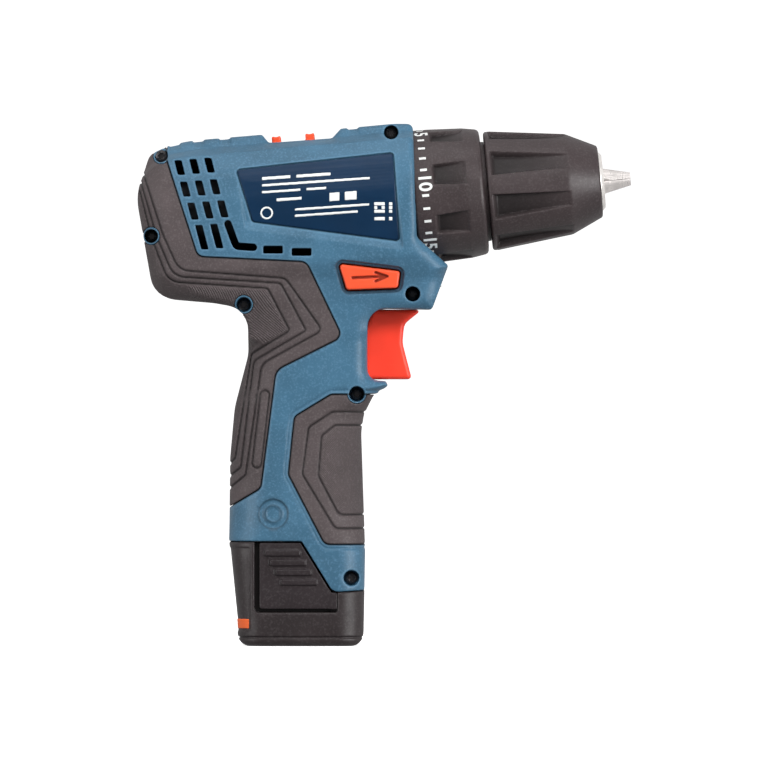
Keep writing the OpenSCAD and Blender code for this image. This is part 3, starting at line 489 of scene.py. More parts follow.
def housing_half(name, block, f, right):
    outer = f["outer"]
    skin = outer + f["housing_lines"]
    skin = both(skin, np.minimum(-f["area"] + 0.1, outer + RUBBER_T + 0.1), 0.4)
    skin = without(skin, both(f["label"] - 0.15, -(outer + 0.75 + f["dip"])), 0.25)
    skin = without(skin, both(f["lever"] - 1.5, -(outer + 0.7)), 0.3)
    body = np.maximum(skin, -(outer + WALL))
    rib = both(both(RIB[0] - block.x, block.x - RIB[1]), both(block.y - 1.6, RIB[2] - block.z))
    body = np.minimum(body, both(rib, outer + 0.5))
    holes = 50.0
    if right:
        holes, bosses = screw_fields(block)
        body = np.minimum(body, both(both(outer, bosses, 0.3), -block.y - 1))
    body = without(body, np.minimum(f["vents"], f["lever"] - 0.45), 0.3)
    body = without(body, np.minimum(f["windows"], holes), 0.35)
    body = both(body, 0.15 - f["parting"], 0.35)
    body = np.maximum(body, -np.minimum(f["bay"], f["stick"]))
    body = both(body, 0.03 - block.y, 0.25)
    # the mesh carries its painted shade and painted highlights to the material
    marks = {"grime": f["housing_grime"], "wear": f["housing_wear"]}
    return moulded(name, body, block, mirrored=right, detail=DETAIL, marks=marks)


def overmould_half(name, block, f, right):
    outer = f["outer"]
    rubber = both(outer + f["rubber_lines"], f["area"] + 0.1, 0.5)
    rubber = np.maximum(rubber, -(outer + RUBBER_T))
    if right:
        rubber = without(rubber, screw_fields(block)[1] - 0.1, 0.35)
    rubber = np.maximum(rubber, -np.minimum(f["windows"], np.minimum(f["bay"], f["stick"])))
    rubber = both(rubber, 0.15 - f["parting"], 0.35)
    rubber = both(rubber, 0.03 - block.y, 0.25)
    # the mesh carries its painted shade to the material
    marks = {"grime": f["rubber_grime"], "hatch": f["hatch"]}
    return moulded(name, rubber, block, mirrored=right, detail=DETAIL, marks=marks)


def housing():
    block = Block((-60, -PAST_MIDDLE, 17), (54, 27, 184.5), FINE)
    f = shared_fields(block)
    for side in ("right", "left"):
        right = side == "right"
        shell = housing_half(side + "_shell", block, f, right)
        rubber = overmould_half(side + "_rubber", block, f, right)
        finished(shell, "body", "blue_plastic", side + "_housing")
        finished(rubber, "body", "soft_rubber", side + "_overmould")


def label_panels():
    """The glossy panel let into each side of the head."""
    block = Block((-25, 19, 139), (37, 27, 175), SMALL)
    outer = tool_shape(block) + label_dip(block)
    panel = both(both(outer + 0.3, outline_field(LABEL, block.x, block.z) + 0.15, 0.3), -(outer + 0.72))
    for side in ("right", "left"):
        obj = moulded(side + "_panel", panel, block, mirrored=side == "right", detail=DETAIL)
        finished(obj, "body", "dark_plastic", material="panel")
    marks = both(both(outer + 0.18, panel_marks(block), 0.08), -(outer + 0.6))
    for side in ("right", "left"):
        obj = moulded(side + "_panel_marks", marks, block, mirrored=side == "right")
        finished(obj, "body", "dark_plastic", material="print")


# Bars printed on the panel: x from and to, level, height
PANEL_BARS = [
    (-13.5, -3.5, 163, 1.1), (-1.5, 10.5, 163, 1.1), (-13.5, 24.2, 160.6, 0.9), (-13.5, 0, 158.2, 0.9),
    (2, 9, 158.2, 0.9), (-8.4, 0.4, 155.2, 1.1), (10, 13.6, 154.9, 3), (15.4, 19.6, 154.9, 3),
    (-2, 24, 151.4, 0.9), (-2, 20, 149.2, 0.9),
]


def panel_marks(block):
    """Plain bars, a ring and a square of dots, printed where a panel of this kind carries its data."""
    x, z = block.x, block.z
    rise = math.tan(math.radians(4))
    zz = z - rise * (x + 16)
    field = 50.0
    for x0, x1, level, h in PANEL_BARS:
        field = np.minimum(field, both(both(x0 - x, x - x1), np.abs(zz - level) - h / 2, 0.2))
    ring = np.abs(np.hypot(x + 11.8, z - 151.2) - 1.9) - 0.35
    field = np.minimum(field, ring)
    for i in range(5):
        for k in range(5):
            if (i * 3 + k * 5 + i * k) % 4 != 1:
                spot = both(np.abs(x - 26.2 - 1.3 * i) - 0.6, np.abs(z - 149.2 - 1.3 * k) - 0.6)
                field = np.minimum(field, spot)
    return field


# ---- Controls ----


def trigger():
    block = Block((7, -9.2, 91.8), (43, 9.2, 119), SMALL)
    x, y, z = block.x, block.y, block.z
    side = outline_field(TRIGGER, x, z)
    blade = both(side, np.abs(y) - 8.4, 1.6)
    ring = np.hypot(np.hypot(x - 47.5, z - 106) - 11.6, np.maximum(np.abs(y) - 3.5, 0))
    blade = without(blade, ring - 0.35, 0.3)
    stem = both(np.hypot(y, z - 106) - 2.45, both(8 - x, x - 26))
    part = moulded("trigger_blade", np.minimum(blade, stem), block, detail=DETAIL)
    finished(part, "trigger", "red_plastic", "trigger")


def direction_lever():
    block = Block((11, -25, 122), (37, 25, 136), SMALL)
    x, y, z = block.x, np.abs(block.y), block.z
    arrow = line_distance(np.array([(18.2, 128.6), (30, 129.1)]), x, z)[0]
    arrow = np.minimum(arrow, line_distance(np.array([(26.2, 130.4), (30.2, 129.1), (26.2, 127.4)]), x, z)[0])
    bar = both(outline_field(LEVER, x, z), y - 24.2, 0.8)
    flange = both(outline_field(LEVER, x, z) - 1.1, np.abs(y - 12.5) - 1.5)
    bar = np.minimum(without(bar, both(arrow - 0.5, 23 - y), 0.2), flange)
    # painted shade in the engraved arrow
    marks = {"grime": 1 - ease(arrow, 0.35, 0.6)}
    lever = moulded("lever_bar", bar, block, detail=DETAIL, marks=marks)
    finished(lever, "direction_lever", "orange_plastic", "direction_lever")


def gear_selector():
    block = Block((-14, -8.2, 172), (13.5, 8.2, 181.8), SMALL)
    s, u, y = block.s, block.u, np.abs(block.y)

    def brick(s0, s1, u0, u1, half_w, r=0.3):
        return both(both(both(s0 - s, s - s1, r), y - half_w, r), both(u0 - u, u - u1), r)

    part = np.minimum(brick(-11, 10.5, 21.5, 22.2, 7.6, 0.1), brick(-8.1, 6.9, 21.9, 23.3, 6.4))
    for s0 in (-8.1, 3.7):
        ridge = brick(s0, s0 + 3.2, 22, 25.6, 6.4, 0.6)
        part = either(part, without(ridge, np.hypot(s - s0 - 1.6, u - 26.8) - 1.5, 0.3), 0.4)
    for s0 in (7.5, 9.95):
        part = np.minimum(part, brick(s0, s0 + 0.95, 19.9, 21.7, 3, 0.05))
    slide = moulded("selector_slide", part, block, detail=DETAIL)
    finished(slide, "gear_shift", "orange_plastic", "gear_selector")


# ---- Screws ----

SCREW_END, SHANK_R, HEAD_R, HEAD_T = 9, 1.35, 2.1, 1.6
THREAD_PITCH, THREAD_DEPTH = 1.1, 0.35


def screw(block, head):
    """A pan head with a six-lobed socket on a threaded shank, its axis along y and its head face at -head."""
    y, r, a = block.y, np.hypot(block.x, block.z), np.arctan2(block.z, block.x)
    turn = (y / THREAD_PITCH + a / (2 * math.pi)) % 1
    thread = SHANK_R - THREAD_DEPTH * np.abs(2 * turn - 1) - 0.3 * ease(y, SCREW_END - 2, SCREW_END)
    shank = both(r - thread, y - SCREW_END, 0.3)
    shank = both(shank, -head + 0.8 - y)
    face = -head + 0.13 * r * r - y
    top = both(both(r - HEAD_R, face, 0.25), y + head - HEAD_T, 0.15)
    socket = both(r - 1.12 - 0.17 * np.cos(6 * a), y + head - 1.1)
    return without(np.minimum(top, shank), socket, 0.12)


def housing_screws():
    pieces = []
    for x, z, head, _ in SCREWS:
        block = Block((-2.5, -head - 0.4, -2.5), (2.5, SCREW_END + 0.4, 2.5), 0.13)
        piece = moulded("screw", screw(block, head), block)
        piece.data.transform(Matrix.Translation((x * MM, 0, z * MM)))
        pieces.append(piece)
    finished(joined("screws", pieces), "body", "dark_steel", "housing_screws", material="screw_steel")


# ---- Battery ----


def battery():
    block = Block((-27, 0, -1), (25, 25, 39), SMALL * 1.3)
    x, y, z = block.x, block.y, block.z
    outer = tool_shape(block)
    window = outline_field(LATCH_WINDOW, x, z)
    case = both(outer, outline_field(PARTING, x, z) + 0.15, 0.4)
    ledge = both(np.abs(z - 3.2) - 0.3, -(outer + 0.5))
    case = without(case, ledge, 0.2)
    badge = both(both(x + 17.6, np.abs(z - 20) - 14.6, 0.8), -(outer + 0.3))
    case = without(case, badge, 0.2)
    case = without(case, both(window, 19.4 - y), 0.05 + 0.3 * (1 - ease(x, 9, 12)))
    case = np.maximum(case, -both(stick_field(block, STICK_R + 0.05), 3 - z))
    # painted shade inside the slot round the latch, fading out at its front end
    sunk = (1 - ease(window, -0.3, 0.1)) * (1 - ease(outer, -1, -0.3))
    marks = {"grime": 2 * sunk * (1 - ease(x, 10, 12))}
    shell = moulded("battery_shell", case, block, detail=DETAIL, marks=marks, whole=True)
    finished(shell, "battery", "dark_plastic", "battery_case")
    stripe = both(both(both(x + 17.9, np.abs(z - 7.9) - 1.7, 0.3), outer + 0.08, 0.1), -(outer + 0.6))
    stripe = moulded("battery_stripe", stripe, block, detail=DETAIL, whole=True)
    finished(stripe, "battery", "orange_plastic", material="orange")


def joined(name, pieces):
    """One object from several."""
    mesh = bpy.data.meshes.new(name)
    work = bmesh.new()
    for piece in pieces:
        work.from_mesh(piece.data)
        bpy.data.objects.remove(piece)
    work.to_mesh(mesh)
    work.free()
    mesh.shade_smooth()
    obj = bpy.data.objects.new(name, mesh)
    bpy.context.scene.collection.objects.link(obj)
    return obj


def latches():
    """The plates that swing in about a pin at their front end, where their edge meets the case."""
    block = Block((-16, 19.5, 12), (14, 24, 38), SMALL)
    x, y, z = block.x, block.y, block.z
    outer = tool_shape(block)
    free = 1 - ease(x, 9, 12)
    edge = outline_field(LATCH, x, z) - 0.1 + 0.15 * free
    plate = both(both(outer + 0.03 + 0.17 * free, edge, 0.03 + 0.32 * free), 20.85 - y)
    for k in range(4):
        left, top = -12.6 + 1.9 * k, 33.7 - 3.4 * k
        bar = both(both(left - x, x - left - 12.6, 0.5), np.abs(z - top + 1.05) - 1.05, 0.5)
        plate = either(plate, both(both(outer - 0.55, bar, 0.4), 21 - y), 0.25)
    pivot = both(np.hypot(x - 11.6, y - 21.6) - 1, both(13.3 - z, z - 18.5))
    plate = np.minimum(plate, pivot)
    for side in ("right", "left"):
        obj = moulded(side + "_latch_plate", plate, block, mirrored=side == "right", detail=DETAIL)
        finished(obj, side + "_latch", "black_plastic", side + "_latch")


# ---- Collar and chuck ----


def turned(name, stations, outer, grip, inner, around=640):
    """A ring round the tool axis with the radii outer(s) and inner(s).

    grip(s, angles) is how deep the outer face is cut.
    """
    angles = 2 * math.pi * np.arange(around) / around
    s_list = np.array(stations)
    cuts = [grip(s, angles) for s in s_list]
    rows = [(s, outer(s) - cut) for s, cut in zip(s_list, cuts)]
    rows += [(s, np.full(around, inner(s))) for s in s_list[::-1]]
    points = []
    for s, radius in rows:
        v, u = radius * np.sin(angles), -radius * np.cos(angles)
        points.append(np.stack([s * COS - u * SIN, v, AXIS_Z + s * SIN + u * COS], axis=1))
    points = np.concatenate(points) * MM
    faces = []
    for row in range(len(rows)):
        a, b = row * around, ((row + 1) % len(rows)) * around
        for k in range(around):
            n = (k + 1) % around
            faces.append((a + k, b + k, b + n, a + n))
    obj = mesh_object(name, points, faces)
    obj.data.set_sharp_from_angle(angle=math.radians(50))
    # painted shade in the grip recesses, darker where they are cut deeper
    wear_and_painted_light = np.concatenate(cuts + [np.zeros(around)] * len(s_list))
    layer = obj.data.attributes.new("grime", "FLOAT", "POINT")
    layer.data.foreach_set("value", (wear_and_painted_light / max(wear_and_painted_light.max(), 1e-9)).astype(np.float32))
    return obj


def profile(points):
    """Radius at s along a line of (s, radius)."""
    s, r = zip(*points)
    return lambda at: np.interp(at, s, r)


def grip_depth(s, angles, phase, rear, front, half_rear, half_front, radius, depth, wall):
    """Depth of the eight grip recesses: trapezoids with a long rear ramp that fade out forwards."""
    turn = np.degrees(angles) / 45 - phase
    across = np.abs(turn - np.round(turn)) * math.radians(45) * radius
    part = np.clip((s - rear) / (front - rear), 0, 1)
    edge = np.minimum(half_rear + (half_front - half_rear) * part - across, (s - rear) * 0.45)
    return depth * (1 - 0.85 * part ** 2) * ease(np.minimum(edge, (front - s) * 0.5), 0, wall)


def stations(marks, step):
    """Stations through all the marks, no further apart than the step."""
    out = []
    for a, b in zip(marks, marks[1:]):
        n = max(1, math.ceil((b - a) / step))
        out += [a + (b - a) * k / n for k in range(n)]
    return out + [marks[-1]]


def clutch_collar():
    shape = profile([
        (39.9, 22.9), (40.1, 23.25), (40.5, 23.45), (46.4, 23.4), (58.4, 22.8), (63.2, 22), (63.9, 21.6),
        (64.3, 20.9), (64.45, 19.6), (64.5, 17.5), (65.6, 17.4), (65.65, 16.5), (66, 16.3),
    ])
    bore = profile([(39.9, 19.7), (55.9, 19.1), (58.5, 17.6), (59.9, 8.4), (66, 8.4)])
    marks = [39.9, 40.1, 40.5, 46.4, 48.6, 58.4, 63.2, 63.9, 64.3, 64.45, 64.5, 65.6, 65.65, 66]

    def grip(s, angles):
        return grip_depth(s, angles, 0.6, 46.5, 59, 3.6, 4.5, 22.5, 1.7, 0.7)

    ring = turned("collar_ring", stations(marks, 0.3), shape, grip, bore)
    finished(ring, "clutch_collar", "dark_plastic", "clutch_collar", material="grip")
    collar_marks()


def chuck_sleeve():
    shape = profile([
        (65.8, 20.1), (66, 20.5), (66.4, 20.8), (68, 20.85), (93.8, 17.75), (94.4, 17.6), (95, 17.35),
        (104.8, 12.7), (105.15, 12.3), (105.3, 11.8),
    ])
    bore = profile([(65.8, 17), (91.2, 17), (91.5, 15.1), (95.8, 15), (104, 11.6), (105.3, 11.1)])
    marks = [65.8, 66, 66.4, 68, 69.5, 93.8, 94.4, 95, 104.8, 105.15, 105.3]

    def grip(s, angles):
        return grip_depth(s, angles, 0.39, 66.9, 95, 4.6, 3.2, 19.5, 2.3, 0.8)

    sleeve = turned("sleeve_grip", stations(marks, 0.35), shape, grip, bore)
    finished(sleeve, "chuck_sleeve", "dark_plastic", "chuck_sleeve", material="grip")


def wrap(mesh, s, angle, radius):
    """Bends flat artwork (millimetres, X along the rim, Y towards the nose) round the tool axis."""
    for v in mesh.vertices:
        a = angle + v.co.x / radius
        r = radius + v.co.z
        along = s + v.co.y
        side, up = r * math.sin(a), -r * math.cos(a)
        v.co = Vector((along * COS - up * SIN, side, AXIS_Z + along * SIN + up * COS)) * MM


def fine_cut(work, longest):
    for _ in range(6):
        long = [e for e in work.edges if e.calc_length() > longest]
        if not long:
            return
        bmesh.ops.subdivide_edges(work, edges=long, cuts=1)
        bmesh.ops.triangulate(work, faces=[f for f in work.faces if len(f.verts) > 3])


def digits(text):
    """A number from Blender's own font as a thin solid, in millimetres."""
    curve = bpy.data.curves.new("number", "FONT")
    curve.body = text
    curve.size = 6.3
    curve.offset = 0.15
    curve.extrude = 0.06
    curve.align_x = "CENTER"
    curve.align_y = "CENTER"
    obj = bpy.data.objects.new("number", curve)
    mesh = bpy.data.meshes.new_from_object(obj)
    bpy.data.objects.remove(obj)
    return mesh


def collar_marks():
    """Numbers at every fifth setting and ticks at the others, raised a hair over the collar."""
    whole = bmesh.new()
    for setting in range(1, 22):
        angle = math.radians(270 + (setting - 11) * 11.25)
        work = bmesh.new()
        if setting % 5 == 0:
            work.from_mesh(digits(str(setting)))
        else:
            bmesh.ops.create_cube(work, size=1, matrix=Matrix.Diagonal((0.9, 2.4, 0.12, 1)))
            bmesh.ops.bevel(work, geom=work.edges[:], offset=0.05, segments=1)
        bmesh.ops.triangulate(work, faces=work.faces[:])
        fine_cut(work, 0.8)
        piece = bpy.data.meshes.new("mark")
        work.to_mesh(piece)
        work.free()
        wrap(piece, 43.8, angle, 23.47)
        whole.from_mesh(piece)
    bmesh.ops.remove_doubles(whole, verts=whole.verts[:], dist=0.0005 * MM)
    bmesh.ops.recalc_face_normals(whole, faces=whole.faces[:])
    mesh = bpy.data.meshes.new("collar_marks")
    whole.to_mesh(mesh)
    whole.free()
    obj = bpy.data.objects.new("collar_marks", mesh)
    bpy.context.scene.collection.objects.link(obj)
    finished(obj, "clutch_collar", "dark_plastic", material="print")


# ---- Materials ----


def linear(rgb):
    """A screen colour (0 to 255) as Blender's linear colour."""
    return tuple(c / 3294.6 if c <= 10 else ((c / 255 + 0.055) / 1.055) ** 2.4 for c in rgb) + (1.0,)


class Shader:
    """A material and the few node patterns that the pieces share."""

    def __init__(self, name):
        self.material = bpy.data.materials.new(name)
        self.material.use_nodes = True
        self.nodes, self.links = self.material.node_tree.nodes, self.material.node_tree.links
        self.out = self.nodes["Principled BSDF"]
        self.place = self.nodes.new("ShaderNodeTexCoord").outputs["Object"]

    def link(self, a, b):
        self.links.new(a, b)

    def stretched(self, scale, turn=0.0):
        node = self.nodes.new("ShaderNodeMapping")
        node.inputs["Rotation"].default_value = (0, turn, 0)
        node.inputs["Scale"].default_value = scale
        self.link(self.place, node.inputs["Vector"])
        return node.outputs["Vector"]

    def noise(self, size, detail=3, place=None):
        """Noise whose features are about size millimetres."""
        node = self.nodes.new("ShaderNodeTexNoise")
        node.inputs["Scale"].default_value = 1 / (size * MM)
        node.inputs["Detail"].default_value = detail
        self.link(place or self.place, node.inputs["Vector"])
        return node.outputs["Fac"]

    def mark(self, name):
        """A value that the mesh carries, such as where painted shade goes."""
        node = self.nodes.new("ShaderNodeAttribute")
        node.attribute_name = name
        return node.outputs["Fac"]

    def ribs(self, pitch):
        """Fine parallel ribs that run down and forwards, pitch millimetres apart."""
        node = self.nodes.new("ShaderNodeTexWave")
        node.bands_direction = "DIAGONAL"
        node.inputs["Scale"].default_value = 2 * math.pi / (10 * math.sqrt(2) * pitch * MM)
        self.link(self.place, node.inputs["Vector"])
        return node.outputs["Fac"]

    def ramp(self, value, low, high, to_low, to_high):
        node = self.nodes.new("ShaderNodeMapRange")
        node.inputs["From Min"].default_value = low
        node.inputs["From Max"].default_value = high
        node.inputs["To Min"].default_value = to_low
        node.inputs["To Max"].default_value = to_high
        self.link(value, node.inputs["Value"])
        return node.outputs["Result"]

    def maths(self, operation, a, b):
        node = self.nodes.new("ShaderNodeMath")
        node.operation = operation
        self.link(a, node.inputs[0])
        if isinstance(b, (int, float)):
            node.inputs[1].default_value = b
        else:
            self.link(b, node.inputs[1])
        return node.outputs[0]

    def mix(self, factor, a, b):
        node = self.nodes.new("ShaderNodeMix")
        node.data_type = "RGBA"
        self.link(factor, node.inputs[0])
        for socket, colour in ((node.inputs[6], a), (node.inputs[7], b)):
            if isinstance(colour, tuple):
                socket.default_value = colour
            else:
                self.link(colour, socket)
        return node.outputs[2]

    def bump(self, height, depth, below=None):
        node = self.nodes.new("ShaderNodeBump")
        node.inputs["Strength"].default_value = 1.0
        node.inputs["Distance"].default_value = depth * MM
        self.link(height, node.inputs["Height"])
        if below:
            self.link(below, node.inputs["Normal"])
        return node.outputs["Normal"]


def plastic(
    name, rgb, rough, spread=0.06, grain=0.5, depth=0.012, tone=0.12, scuff=0.25, coat=0.0, speck=0.0,
    grime=0.0, wear=0.0, hatch=0.0,
):
    """A moulded surface: spark-eroded grain, uneven sheen, slight mottling and light scuffs.

    Painted shade darkens it where its mesh marks lines, gaps and recesses, and painted highlights pale its
    edges.
    """
    sh = Shader(name)
    base = linear(rgb)
    dark = tuple(c * (1 - tone) for c in base[:3]) + (1.0,)
    light = tuple(min(1, c * (1 + tone)) for c in base[:3]) + (1.0,)
    wear_and_painted_light = tuple(min(1, c * 1.5 + 0.03) for c in base[:3]) + (1.0,)
    cloud = sh.noise(14, 4)
    colour = sh.mix(sh.ramp(cloud, 0.35, 0.65, 0, 1), dark, light)
    streaks = sh.noise(6, 6, sh.stretched((0.25, 1, 2.5), 0.6))
    scuffs = sh.ramp(streaks, 0.66, 0.72, 0, scuff)
    if speck:
        colour = sh.mix(sh.ramp(sh.noise(0.7, 2), 0.5, 0.7, 0, speck), colour, wear_and_painted_light)
    colour = sh.mix(scuffs, colour, wear_and_painted_light)
    # painted highlight: pales the surface where the mesh marks rims that should catch the light
    if wear:
        colour = sh.mix(sh.maths("MULTIPLY", sh.mark("wear"), wear), colour, wear_and_painted_light)
    # painted shade: darkens the surface towards near black where the mesh marks shade
    if grime:
        colour = sh.mix(sh.maths("MULTIPLY", sh.mark("grime"), grime), colour, (0.004, 0.0035, 0.0035, 1.0))
    sh.link(colour, sh.out.inputs["Base Color"])
    sheen = sh.ramp(sh.noise(5, 5), 0.3, 0.7, rough - spread, rough + spread)
    sh.link(sh.maths("ADD", sheen, sh.maths("MULTIPLY", scuffs, 0.3)), sh.out.inputs["Roughness"])
    normal = sh.bump(sh.noise(grain, 2), depth)
    if hatch:
        normal = sh.bump(sh.maths("MULTIPLY", sh.ribs(0.6), sh.mark("hatch")), hatch, normal)
    sh.link(normal, sh.out.inputs["Normal"])
    sh.out.inputs["Specular IOR Level"].default_value = 0.4
    sh.out.inputs["Coat Weight"].default_value = coat
    sh.out.inputs["Coat Roughness"].default_value = 0.08
    return sh.material


def metal(name, rgb, rough, spread=0.08, ring=0.25, depth=0.004, stain=0.15, metallic=1.0):
    """Machined or ground metal with fine tool marks round the tool axis, and dull patches."""
    sh = Shader(name)
    base = linear(rgb)
    dull = tuple(c * (1 - stain) * 0.8 for c in base[:3]) + (1.0,)
    patches = sh.ramp(sh.noise(4, 5), 0.45, 0.7, 0, 1)
    sh.link(sh.mix(patches, base, dull), sh.out.inputs["Base Color"])
    lines = sh.noise(ring, 2, sh.stretched((1, 0.04, 0.04), -TILT))
    sheen = sh.ramp(lines, 0.3, 0.7, rough - spread, rough + spread)
    sh.link(sh.maths("ADD", sheen, sh.maths("MULTIPLY", patches, 0.12)), sh.out.inputs["Roughness"])
    sh.link(sh.bump(lines, depth), sh.out.inputs["Normal"])
    sh.out.inputs["Metallic"].default_value = metallic
    return sh.material


def make_materials():
    # some of these set how dark the painted shade and how pale the painted highlights are drawn
    dark = {"grain": 0.45, "depth": 0.03, "scuff": 0.12, "speck": 0.4}
    bright = {"grain": 0.8, "depth": 0.006, "tone": 0.06, "scuff": 0.1}
    blue = {"grain": 0.5, "depth": 0.035, "scuff": 0.1, "speck": 0.5, "grime": 0.9, "wear": 0.6}
    rubber = {"grain": 0.4, "depth": 0.05, "scuff": 0.12, "speck": 0.45, "grime": 0.95, "hatch": 0.2}
    ink = {"grain": 0.3, "depth": 0.006}
    clear = {"grain": 1.2, "depth": 0.01, "tone": 0.03, "scuff": 0.05, "coat": 0.5}
    bare = {"stain": 0.05, "metallic": 0.6}
    return {
        "blue_plastic": plastic("blue_moulding", (59, 97, 121), 0.42, **blue),
        "soft_rubber": plastic("warm_grey_rubber", (75, 67, 68), 0.6, **rubber),
        "dark_plastic": plastic("dark_moulding", (43, 37, 38), 0.42, grime=0.45, **dark),
        "grip": plastic("grip_moulding", (58, 50, 51), 0.42, grime=0.75, **dark),
        "black_plastic": plastic("black_moulding", (41, 35, 37), 0.42, grime=0.45, **dark),
        "red_plastic": plastic("red_moulding", (248, 66, 46), 0.36, **bright),
        "orange_plastic": plastic("orange_moulding", (236, 84, 50), 0.36, grime=0.7, **bright),
        "panel": plastic("panel_gloss", (4, 38, 66), 0.38, 0.03, grain=3, depth=0.004, tone=0.08, scuff=0.04),
        "print": plastic("pale_print", (226, 228, 226), 0.5, tone=0.05, scuff=0.1, **ink),
        "orange": plastic("orange_print", (224, 96, 40), 0.45, tone=0.08, **ink),
        "clear_lens": plastic("lens", (226, 222, 200), 0.15, **clear),
        "lead_insulation": plastic("lead_jacket", (120, 24, 20), 0.45, grain=0.6, depth=0.02),
        "steel": metal("machined_steel", (196, 196, 198), 0.24),
        "dark_steel": metal("blackened_steel", (58, 57, 59), 0.3),
        "screw_steel": metal("screw_steel", (88, 86, 88), 0.3, ring=0.4, metallic=0.85),
        # the motor can is coloured dark as painted shade behind the vents
        "can": metal("motor_can_shade_dark", (74, 76, 80), 0.4),
        "jaw": metal("ground_steel", (236, 230, 227), 0.3, 0.04, depth=0.0008, **bare),
        "nose": metal("turned_nose", (244, 240, 236), 0.34, 0.05, depth=0.002, **bare),
        "sintered_steel": metal("sintered_steel", (150, 150, 152), 0.45, ring=0.6, depth=0.01),
        "brass": metal("plain_brass", (200, 168, 96), 0.3),
        "copper": metal("winding_copper", (190, 108, 66), 0.32, ring=0.5, depth=0.02),
        "spring_steel": metal("bright_wire", (205, 206, 208), 0.22),
        "cell_jacket": metal("cell_jacket", (186, 188, 190), 0.4, ring=2),
    }


materials = make_materials()


def finished(obj, body, slot, node=None, material=None):
    """Gives a piece its material, the body it rides on and the CAD node it stands for."""
    obj.data.materials.clear()
    obj.data.materials.append(materials[material or slot])
    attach(obj, body)
    if node:
        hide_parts(node)


OWN_MATERIALS = {
    "motor_can": "can", "motor_plate": "can", "chuck_body": "nose",
    "jaw_1": "jaw", "jaw_2": "jaw", "jaw_3": "jaw",
}
SOFTENED = ("chuck_body", "jaw_", "work_light", "battery_contacts", "handle_terminals", "trigger_switch")


def finish_cad_nodes():
    """Every CAD node keeps its mesh and takes its own material or its slot's. Some have their edges broken."""
    slots = {part["node"]: part["material_slot"] for part in frame["record"]["subparts"]}
    for node, obj in frame["nodes"].items():
        obj.data.materials.clear()
        obj.data.materials.append(materials[OWN_MATERIALS.get(node, slots[node])])
        if node.startswith(SOFTENED):
            bevel = obj.modifiers.new("edges", "BEVEL")
            bevel.width = 0.15 * MM
            bevel.segments = 2
            bevel.limit_method = "ANGLE"
            bevel.angle_limit = math.radians(40)
            bevel.harden_normals = False


# ---- Studio ----


def area_light(name, place, target, size, watts):
    light = bpy.data.lights.new(name, "AREA")
    light.shape = "RECTANGLE"
    light.size, light.size_y = size
    light.energy = watts
    obj = bpy.data.objects.new(name, light)
    obj.location = place
    obj.rotation_euler = (Vector(target) - Vector(place)).to_track_quat("-Z", "Y").to_euler()
    bpy.context.scene.collection.objects.link(obj)
    return obj


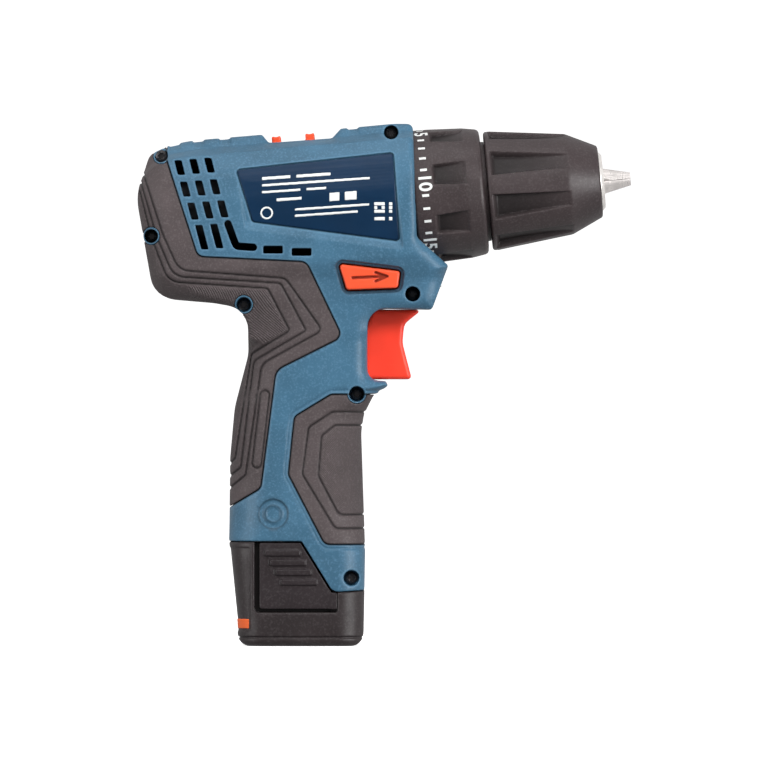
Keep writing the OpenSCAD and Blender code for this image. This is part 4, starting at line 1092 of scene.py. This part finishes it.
def paper_sweep():
    """A white paper floor that sweeps up all round. Only the camera sees it: it gives the tool no light."""
    turns, floor_r, bend_r, top = 48, 5.0, 1.5, 6.0
    rings = [(0.0, 0.0), (floor_r, 0.0)]
    for a in np.linspace(0.15, math.pi / 2, 10):
        rings.append((floor_r + bend_r * math.sin(a), bend_r - bend_r * math.cos(a)))
    rings.append((floor_r + bend_r, top))
    work = bmesh.new()
    loops = []
    for r, z in rings:
        around = [2 * math.pi * k / turns for k in range(turns)] if r else []
        ring = [work.verts.new((r * math.cos(a), r * math.sin(a), z)) for a in around]
        loops.append(ring or [work.verts.new((0, 0, z))] * turns)
    for inner, outer in zip(loops, loops[1:]):
        for k in range(turns):
            n = (k + 1) % turns
            corners = [inner[k], outer[k], outer[n]] + ([inner[n]] if inner[n] is not inner[k] else [])
            work.faces.new(corners)
    mesh = bpy.data.meshes.new("sweep")
    work.to_mesh(mesh)
    work.free()
    mesh.shade_smooth()
    floor = bpy.data.objects.new("sweep", mesh)
    bpy.context.scene.collection.objects.link(floor)
    paper = plastic("paper", (246, 246, 246), 0.9, grain=1, depth=0.01, tone=0.01, scuff=0)
    glow = paper.node_tree.nodes["Principled BSDF"].inputs
    glow["Emission Color"].default_value = (1, 1, 1, 1)
    glow["Emission Strength"].default_value = 0.8
    floor.data.materials.append(paper)
    floor.visible_diffuse = False
    floor.visible_glossy = False
    floor.visible_transmission = False
    floor.visible_shadow = False


def studio():
    """The paper, a dome of light and five soft boxes."""
    paper_sweep()
    bpy.context.scene.view_settings.view_transform = "Standard"
    dome_light()
    middle = (0.02, 0, 0.11)
    area_light("overhead", (-0.1, -0.25, 1.3), middle, (1.2, 0.6), 3)
    area_light("left_box", (-1.35, -0.95, 0.3), middle, (0.9, 0.9), 9)
    area_light("right_box", (1.35, -0.95, 0.25), middle, (0.9, 0.9), 18)
    area_light("top_strip", (0.0, -1.0, 1.0), middle, (1.2, 0.15), 2.5)
    fill = area_light("front_fill", (0.3, -2.0, 1.3), middle, (1.0, 0.6), 36)
    fill.visible_glossy = False


def dome_light():
    """Bright behind the tool and dim in front of it, so that edges are rimmed and front faces stay deep."""
    world = bpy.data.worlds.new("studio")
    world.use_nodes = True
    nodes, links = world.node_tree.nodes, world.node_tree.links
    place = nodes.new("ShaderNodeTexCoord")
    split = nodes.new("ShaderNodeSeparateXYZ")
    level = nodes.new("ShaderNodeMapRange")
    links.new(place.outputs["Generated"], split.inputs[0])
    links.new(split.outputs["Y"], level.inputs["Value"])
    level.inputs["From Min"].default_value = -0.7
    level.inputs["From Max"].default_value = 0.4
    level.inputs["To Min"].default_value = 0.16
    level.inputs["To Max"].default_value = 0.55
    links.new(level.outputs["Result"], nodes["Background"].inputs["Strength"])
    nodes["Background"].inputs["Color"].default_value = (1, 1, 1, 1)
    bpy.context.scene.world = world


def photo_camera():
    """A long lens square to the tool's right side, framed as the photo is."""
    camera = bpy.data.cameras.new("photo")
    camera.lens = 480.9
    camera.sensor_width = 36
    obj = bpy.data.objects.new("photo", camera)
    obj.location = (0.0291, -3.6, 0.0916)
    obj.rotation_euler = (math.pi / 2, 0, 0)
    bpy.context.scene.collection.objects.link(obj)
    bpy.context.scene.camera = obj


finish_cad_nodes()
housing()
label_panels()
trigger()
direction_lever()
gear_selector()
housing_screws()
battery()
latches()
clutch_collar()
chuck_sleeve()
studio()
photo_camera()
